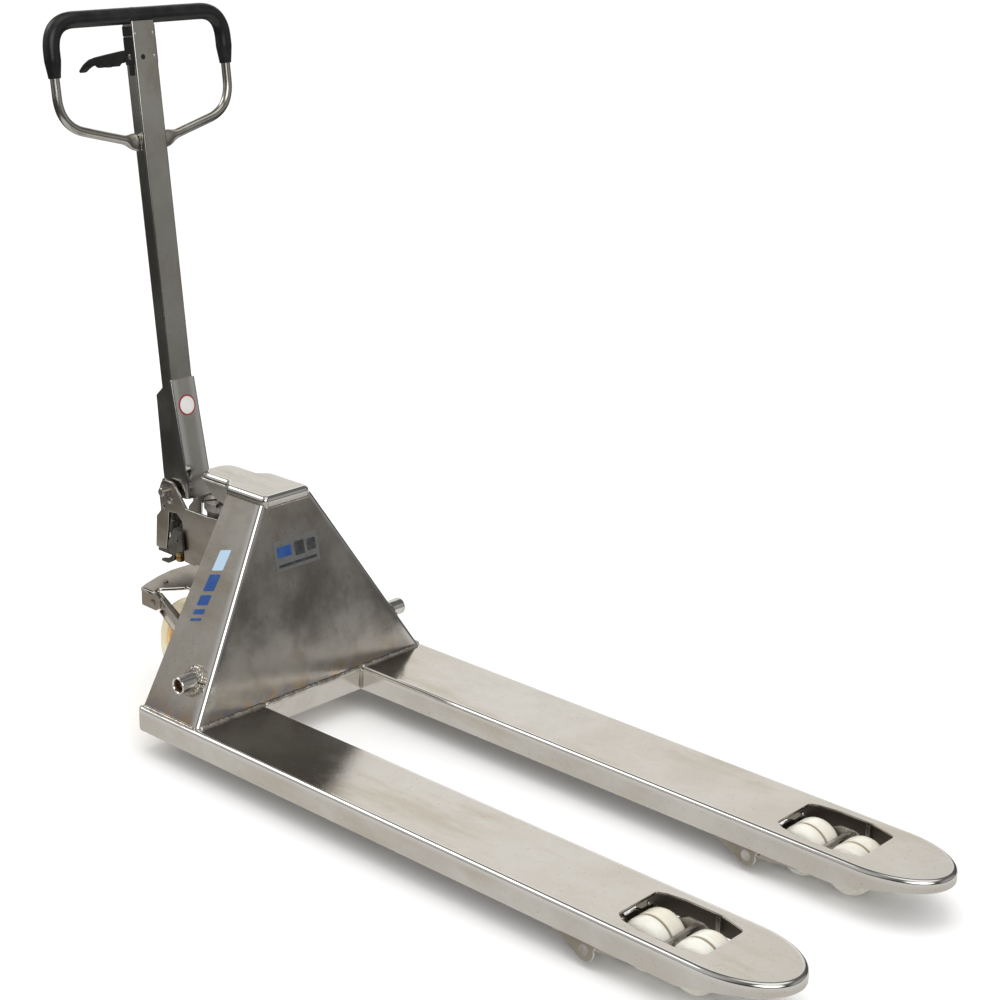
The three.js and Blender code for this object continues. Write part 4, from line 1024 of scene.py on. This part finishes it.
def build_pump_details():
    """Pin head and cotter, ear bolts, and the small release plate, hook and brass plug."""
    x, z = TILLER["x"], TILLER["z"]
    head = Shape()
    head.lathe((x, 0, z), "Y", [(-52, 0), (-52, 6.5), (-50.5, 7.9), (40.5, 7.9), (40.5, 11.4),
                                (41.2, 12), (44, 12), (45, 10.6), (45, 0)], 48)
    head.lathe((x, 0, z), "Y", [(-41.6, 8.2), (-41.6, 13), (-40.4, 13), (-40.4, 8.2), (-41.6, 8.2)], 40)
    cotter = [(x - 3, -46, z + 12), (x, -46, z + 9), (x, -46, z - 9), (x + 2, -46, z - 16)]
    head.sweep(cotter, lambda i: (1.3, 1.3), 10)
    head.make("tiller_pin_turned", "bolt", "pump", "tiller_pin")
    bolts = Shape()
    for bolt_x, bolt_z, radius in ((-328, 353, 6.5), (-350, 372, 3), (-212, 300, 5)):
        profile = [(39.5, 0), (39.5, radius + 1.6), (40.8, radius + 1.6), (40.8, radius),
                   (43.2, radius * 0.92), (43.8, radius * 0.7), (43.8, 0)]
        for _, side in SIDES:
            bolts.lathe((bolt_x, 0, bolt_z), "Y", flipped(profile, side), 28)
    bolts.make("ear_bolts", "bolt", "pump")
    cheek = rounded([(-292, 303, 4), (-287, 268, 4), (-306, 259, 5), (-328, 255, 5), (-330, 276, 6),
                     (-316, 300, 5)], 5)
    saddle = rounded([(-334, 296, 4), (-316, 304, 5), (-300, 296, 4), (-303, 272, 3), (-333, 270, 3)], 5)
    hook = rounded([(-326, 262, 2), (-318, 262, 2), (-322, 240, 4), (-340, 230, 5), (-359, 230, 2),
                    (-358, 235, 2), (-338, 240, 4), (-329, 248, 4)], 5)
    linkage = Shape()
    rivet_hole = arc(-303, 284, 2.2, 0, 330, 11)
    linkage.plate(cheek, -47.5, -42, 1.2, side_view, holes=[rivet_hole], polish_and_painted_light=0.6)
    linkage.plate(saddle, -33, -18, 1.8, side_view)
    linkage.plate(hook, -40, -34, 1.2, side_view)
    linkage.make("release_linkage", "cast", "pump")
    plug = Shape().lathe((-308, -37, 251), "Z", [(-9, 0), (-9, 6), (-8, 7.5), (-1, 7.5), (0, 6),
                                                 (1, 8.5), (8, 8.5), (9, 7), (9, 0)], 24)
    plug.make("release_plug", "brass", "pump")


# ---------------------------------------------------------------- tiller
def foot_front(z):
    """How far the foot's front face stands out from the pivot, at a height."""
    return lerp(31.8, 47.5, between(z, 199, 24)) if z > 24 else lerp(47.5, 46, between(z, 24, -13))


def foot_row(t, inset):
    """One row across the foot's folded sheet, t of the way up, and each point's polish mark, which paints a
    highlight along the folds.
    """
    front_z = lerp(*FOOT["front"], t)
    rear_z = lerp(*FOOT["rear"], t)
    front = foot_front(front_z) - inset
    rear = lerp(-15, -11, between(rear_z, 37, 172))
    if rear_z < 14:
        rear = -15 + 5 * (1 - between(rear_z, -6, 14)) ** 2
    half = FOOT["half"] - inset
    radius = FOOT["fold"] - inset
    half_row = [(lerp(rear, front - radius, i / 8), half) for i in range(9)]
    half_row += arc(front - radius, half - radius, radius, 90, 0, 6)[1:]
    face = [(front, lerp(half - radius, radius - half, i / 8)) for i in range(1, 8)]
    line = half_row + face + [(x, -y) for x, y in reversed(half_row)]
    points = []
    polish_and_painted_light = []
    for k, (x, y) in enumerate(line):
        share = min(1, between(x, rear, front) * 1.15)
        points.append((x, y, lerp(rear_z, front_z, share)))
        # Points near the two front folds carry a painted highlight.
        fold_distance = min(abs(k - 11.5), abs(k - (len(line) - 12.5)))
        polish_and_painted_light.append(1 - between(fold_distance, 3, 5))
    return points, polish_and_painted_light


def build_tiller_foot():
    """The folded sleeve round the tube's foot: a front face and two cheeks, open behind."""
    shape = Shape(on_tiller)
    skins = []
    for inset in (0, FOOT["wall"]):
        rings = []
        for j in range(FOOT["rows"] + 1):
            points, polish_and_painted_light = foot_row(j / FOOT["rows"], inset)
            ring = shape.ring(points)
            shape.polish_and_painted_light[ring[0]:] = polish_and_painted_light
            rings.append(ring)
        skins.append(rings)
    shape.shell(*skins)
    shape.make("tiller_foot_folded", "tube", "tiller", "tiller_foot", sharp=50)
    for name, look, radius, low in (("foot_disc", "red", 18.5, 0.15), ("foot_disc_face", "paper", 15.6, 0.4)):
        disc = Shape(lambda u, v, w: on_tiller(foot_front(v) + w, u, v))
        disc.plate(arc(0, 152, radius, 0, 350, 35), low, low + 0.35, 0.1, plan_view, steps=1)
        disc.make(name, look, "tiller")
    pin_shape = symmetric([(-30.5, 0), (-30.5, 5.6), (-28.7, 6.4), (-28.7, 4)])
    pin = Shape(on_tiller).lathe(PRESS_ROLLER, "Y", pin_shape, 32)
    pin.make("press_roller_pin_turned", "bolt", "tiller", "press_roller_pin")
    roller_shape = symmetric([(-9, 4.5), (-9, 8), (-8, 9)], closed=True)
    roller = Shape(on_tiller).lathe(PRESS_ROLLER, "Y", roller_shape, 40)
    roller.make("press_roller_turned", "bright", "press_roller", "press_roller")


def tube_top(x, z):
    """A height on the tube, cut down where the grip lies across its top."""
    if z < HANDLE["top"] - 30:
        return z
    reach = HANDLE["grip"] + 0.4
    return min(z, HANDLE["top"] - math.sqrt(max(0, reach ** 2 - (x - TILLER["mid"]) ** 2)))


def build_tiller_tube():
    front, half = TILLER["mid"] + TILLER["depth"] / 2, TILLER["half"]
    shape = Shape(on_tiller)

    def section(z, inset, radius):
        low, high, side = front - TILLER["depth"] + inset, front - inset, half - inset
        loop = rounded([(high, side, radius), (low, side, radius), (low, -side, radius),
                        (high, -side, radius)], 5)
        return shape.ring([(x, y, tube_top(x, z)) for x, y in loop])

    heights = [lerp(45, 790, i / 30) for i in range(31)] + [800, 806, 811, 816]
    outer = [section(z, 0, 4.5) for z in heights]
    inner = [section(z, 2.5, 2) for z in heights]
    shape.skin(outer)
    shape.skin(inner)
    shape.skin([outer[0], inner[0]])
    shape.skin([outer[-1], inner[-1]])
    # The tube's rounded corners carry a painted highlight (polish 0.55).
    for ring in outer:
        for k, point in enumerate(ring):
            if k % 6 in (1, 2, 3, 4):
                shape.polish_and_painted_light[point] = 0.55
    shape.make("tiller_tube_drawn", "tube", "tiller", "tiller_tube", sharp=40)
    rivets = Shape(on_tiller)
    for y, z in ((18.5, 795), (-19, 795), (17, TILLER["lever_z"])):
        rivets.lathe((front, y, z), "X", [(-0.5, 0), (-0.5, 2.3), (0.3, 2.3), (1.0, 1.5), (1.2, 0)], 20)
    rivets.make("tube_rivets", "bright", "tiller")
    # A black disc on the tube's front: painted shade standing in for a hole.
    hole = Shape(on_tiller)
    hole.lathe((front, -8, 756), "X", [(-0.5, 0), (-0.5, 4.6), (0.35, 4.4), (0.4, 3.9), (0.1, 0)], 24)
    hole.make("tube_hole_painted_shade", "plastic", "tiller")
    pin = Shape(on_tiller)
    pin.lathe((TILLER["mid"], 0, TILLER["lever_z"]), "Y", pin_profile(26.6, 5, 1, 1.4), 32)
    pin.make("lever_pin_turned", "bolt", "tiller", "lever_pin")


def build_control_box():
    """Black moulding that wraps the tube's rear and sides where the finger lever comes out, with thin black
    sheets below it on the tube's sides as painted shade standing for the slot there.
    """
    low = TILLER["mid"] - TILLER["depth"] / 2
    half = TILLER["half"]
    wrap = rounded([(low + 25, half + 0.9, 0.3), (low - 0.9, half + 0.9, 4), (low - 0.9, -half - 0.9, 4),
                    (low + 25, -half - 0.9, 0.3), (low + 25, -half - 0.1, 0.2),
                    (low - 0.1, -half - 0.1, 3.5), (low - 0.1, half + 0.1, 3.5),
                    (low + 25, half + 0.1, 0.2)], 5)
    shape = Shape(on_tiller)
    for z0, z1 in ((744, 790), (791.5, 808)):
        shape.plate(wrap, z0, z1, 0.25, plan_view, steps=1)
    # Painted shade: thin black sheets where the slot in the tube's sides shows only shade.
    slot = rounded([(low + 9, 726, 2), (low + 23, 726, 2), (low + 24, 745, 1), (low + 9, 745, 1)], 3)
    for _, side in SIDES:
        shape.plate(slot, (half + 0.05) * side, (half + 0.7) * side, 0.2, side_view, steps=1)
    shape.make("control_box", "plastic", "tiller", "tiller_top_plug")


def smooth_path(corners, run, step):
    """Straight runs joined by rounded corners, as points about one step apart."""
    here = Vector(corners[0])
    pieces = []
    for i in range(1, len(corners) - 1):
        corner = Vector(corners[i])
        entry = corner + (Vector(corners[i - 1]) - corner).normalized() * run
        leave = corner + (Vector(corners[i + 1]) - corner).normalized() * run
        pieces += [(here, here.lerp(entry, 0.5), entry), (entry, corner, leave)]
        here = leave
    end = Vector(corners[-1])
    pieces.append((here, here.lerp(end, 0.5), end))
    points = []
    for a, control, b in pieces:
        count = max(2, int((b - a).length / step))
        for t in (k / count for k in range(count)):
            points.append(tuple(a.lerp(control, t).lerp(control.lerp(b, t), t)))
    return points + [tuple(end)]


def nearest_end(path):
    """For each point of the path, its distance along it to the nearer end, and to its start."""
    lengths = [0.0]
    for a, b in zip(path, path[1:]):
        lengths.append(lengths[-1] + (Vector(b) - Vector(a)).length)
    return [min(length, lengths[-1] - length) for length in lengths], lengths


def build_handle():
    """The loop of bent tube with flattened, welded ends, and the grip pushed over its top."""
    mid, half, top, weld_z = TILLER["mid"], HANDLE["half"], HANDLE["top"], HANDLE["weld"]
    right = [(26, weld_z), (half, HANDLE["knee"]), (half, top)]
    path = smooth_path(right + [(-y, z) for y, z in reversed(right)], HANDLE["corner"], 4.0)
    ends, _ = nearest_end(path)

    def loop_section(i):
        roundness = between(ends[i], 10, 34)
        roundness = roundness * roundness * (3 - 2 * roundness)
        return lerp(3.2, HANDLE["tube"], roundness), lerp(14.5, HANDLE["tube"], roundness)

    loop = Shape(on_tiller).sweep([(mid, y, z) for y, z in path], loop_section, 28)
    loop.make("handle_loop_bent", "tube", "tiller", "handle_loop", slot="bright_steel", sharp=60)
    for name, side in SIDES:
        spots = [(mid + x, 25.8 * side, weld_z + z) for x, z in ((-5, -13), (-6, 13), (6, 13), (5, -13))]
        bead = [on_tiller(*p) / MM - Vector((SHIFT, 0, 0)) for p in spots]
        weld(f"handle_weld_{name}", bead, 1.6, 61 + side, body="tiller")
    low = HANDLE["grip_end"]
    grip_path = smooth_path([(half, low), (half, top), (-half, top), (-half, low)], HANDLE["corner"], 4.0)
    grip_ends, grip_lengths = nearest_end(grip_path)

    def grip_section(i):
        """Narrow collars at the ends, and a moulded ridge a little past the middle."""
        radius = lerp(10.6, HANDLE["grip"], between(grip_ends[i], 0, HANDLE["collar"]))
        if grip_ends[i] < HANDLE["collar"]:
            radius -= 0.35
        if abs(grip_lengths[i] - grip_lengths[-1] / 2 - 12) < 1.5:
            radius += 0.5
        return radius, radius

    grip = Shape(on_tiller).sweep([(mid, y, z) for y, z in grip_path], grip_section, 36)
    grip.make("handle_grip_moulded", "rubber", "tiller", "handle_grip", sharp=40)


def build_finger_lever():
    """Lever with a drooping tip and finger notches below, and the rod it works in the tube."""
    top = [(22, 764), (2, 768), (-32, 768), (-75, 763.5), (-109, 759.5), (-128, 756), (-145, 748),
           (-157.5, 738.5)]
    tip = [(-158.5, 735.5), (-155.5, 733.5), (-150.5, 735)]
    below = [(-143, 739), (-133, 743), (-121, 745.5), (-112, 745.5), (-106, 741.5), (-100, 740.5),
             (-94, 745), (-89, 745), (-84, 741), (-78, 740.5), (-72, 745), (-67, 745), (-62, 741.5),
             (-56, 741.5), (-50, 746), (-34, 748), (2, 748), (20, 749)]
    bore = arc(TILLER["mid"], TILLER["lever_z"], 5.4, 0, 340, 17)
    shape = Shape(on_tiller).plate(top + tip + below, -7, 7, 2.0, side_view, holes=[bore], steps=5)
    shape.make("finger_lever_moulded", "plastic", "finger_lever", "finger_lever", sharp=70)
    rod = Shape(on_tiller)
    rod.lathe((20.5, 0, 0), "Z", [(90, 0), (90, 2.4), (91, 3), (738, 3), (739, 2.4), (739, 0)], 24)
    rod.make("control_rod_drawn", "spring", "control_rod", "control_rod")


# ---------------------------------------------------------------- studio
def studio_piece(name, operation, look, **settings):
    """A mesh primitive that belongs to the studio, not to the truck."""
    mesh = bpy.data.meshes.new(name)
    bm = bmesh.new()
    operation(bm, **settings)
    bm.to_mesh(mesh)
    bm.free()
    mesh.materials.append(look)
    piece = bpy.data.objects.new(name, mesh)
    bpy.context.scene.collection.objects.link(piece)
    return piece


def disc(name, radius, level, look):
    return studio_piece(name, bmesh.ops.create_circle, look, cap_ends=True, segments=96,
                        radius=radius, matrix=Matrix.Translation((0, 0, level)))


def glow_only(piece):
    """Keeps a studio piece out of everything but reflections."""
    piece.visible_camera = False
    piece.visible_diffuse = False
    piece.visible_shadow = False
    piece.visible_transmission = False


def build_floor():
    """A pale floor for the eye, and a glow just under it that only reflections see."""
    n = Nodes("pale_floor")
    cloud = n.noise(0.8, 3)
    colour = n.mix(n.remap(cloud, 0.3, 0.7), (0.92, 0.92, 0.92), (0.90, 0.90, 0.90))
    look = n.surface(colour, n.remap(cloud, 0.3, 0.7, 0.75, 0.85), Specular_IOR_Level=0.1)
    disc("floor", 60, 0, look).visible_glossy = False
    g = Nodes("floor_glow")
    away = g.add("ShaderNodeVectorMath", {0: g.coords}, operation="LENGTH").outputs["Value"]
    paper = g.remap(away, 1.15, 1.75, GLOW["paper"], GLOW["room"])
    beyond = g.remap(g.math("ADD", g.height("X"), g.height("Y")), 1.2, 4.5, 0.0, GLOW["beyond"])
    glow_only(disc("floor_glow", 12, -0.002, g.glow(g.math("ADD", paper, beyond))))


def build_reflections():
    """A far dome that only reflections see: bright backdrop and softboxes, dark room between."""
    n = Nodes("studio_dome")
    direction = n.add("ShaderNodeVectorMath", {0: n.coords}, operation="NORMALIZE").outputs[0]
    total = n.remap(n.height(), 0.0, 9.0, GLOW["room"], 0.14)
    for towards, outer, inner, strength in SOFTBOXES:
        facing = n.add("ShaderNodeVectorMath", {0: direction}, {1: Vector(towards).normalized()},
                       operation="DOT_PRODUCT").outputs["Value"]
        total = n.math("ADD", total, n.remap(facing, outer, inner, 0.0, strength))
    glow_only(studio_piece("studio_dome", bmesh.ops.create_uvsphere, n.glow(total),
                           u_segments=64, v_segments=32, radius=12))


def build_lights():
    world = bpy.data.worlds.new("studio")
    world.use_nodes = True
    background = world.node_tree.nodes["Background"]
    background.inputs["Color"].default_value = (1.0, 0.99, 0.975, 1)
    background.inputs["Strength"].default_value = 1.15
    bpy.context.scene.world = world
    boxes = (("top_box", (0.3, -0.5, 3.6), 3.0, 40), ("side_box", (2.2, -2.6, 2.6), 1.8, 16))
    for name, place, size, power in boxes:
        light = bpy.data.lights.new(name, "AREA")
        light.shape = "SQUARE"
        light.size = size
        light.energy = power
        lamp = bpy.data.objects.new(name, light)
        bpy.context.scene.collection.objects.link(lamp)
        lamp.location = place
        lamp.rotation_euler = (Vector((0, 0, 0.2)) - Vector(place)).to_track_quat("-Z", "Y").to_euler()
        lamp.visible_glossy = False


def build_camera():
    yaw, pitch, roll = (math.radians(a) for a in CAMERA["turn"])
    forward = Vector((math.cos(pitch) * math.cos(yaw), math.cos(pitch) * math.sin(yaw), math.sin(pitch)))
    level = forward.cross(Vector((0, 0, 1))).normalized()
    upright = level.cross(forward)
    right = level * math.cos(roll) + upright * math.sin(roll)
    up = upright * math.cos(roll) - level * math.sin(roll)
    turn = Matrix((right, up, -forward)).transposed().to_4x4()
    data = bpy.data.cameras.new("camera")
    data.sensor_width = 36
    data.lens = data.sensor_width * CAMERA["focal"]
    camera = bpy.data.objects.new("camera", data)
    bpy.context.scene.collection.objects.link(camera)
    camera.matrix_world = Matrix.Translation(at(*CAMERA["place"])) @ turn
    bpy.context.scene.camera = camera


build_camera()
build_floor()
build_reflections()
build_lights()
for fork_name, fork_side in SIDES:
    build_fork(fork_name, fork_side)
    build_fork_details(fork_name, fork_side)
build_hood()
build_cross_beam()
build_cap()
build_bosses()
build_marks()
build_bearing_plate()
build_rear_arms()
build_steering_wheels()
build_load_rollers()
build_pump()
build_plunger_spring()
build_pump_details()
build_tiller_foot()
build_tiller_tube()
build_control_box()
build_handle()
build_finger_lever()

bpy.context.scene.view_settings.view_transform = "Standard"
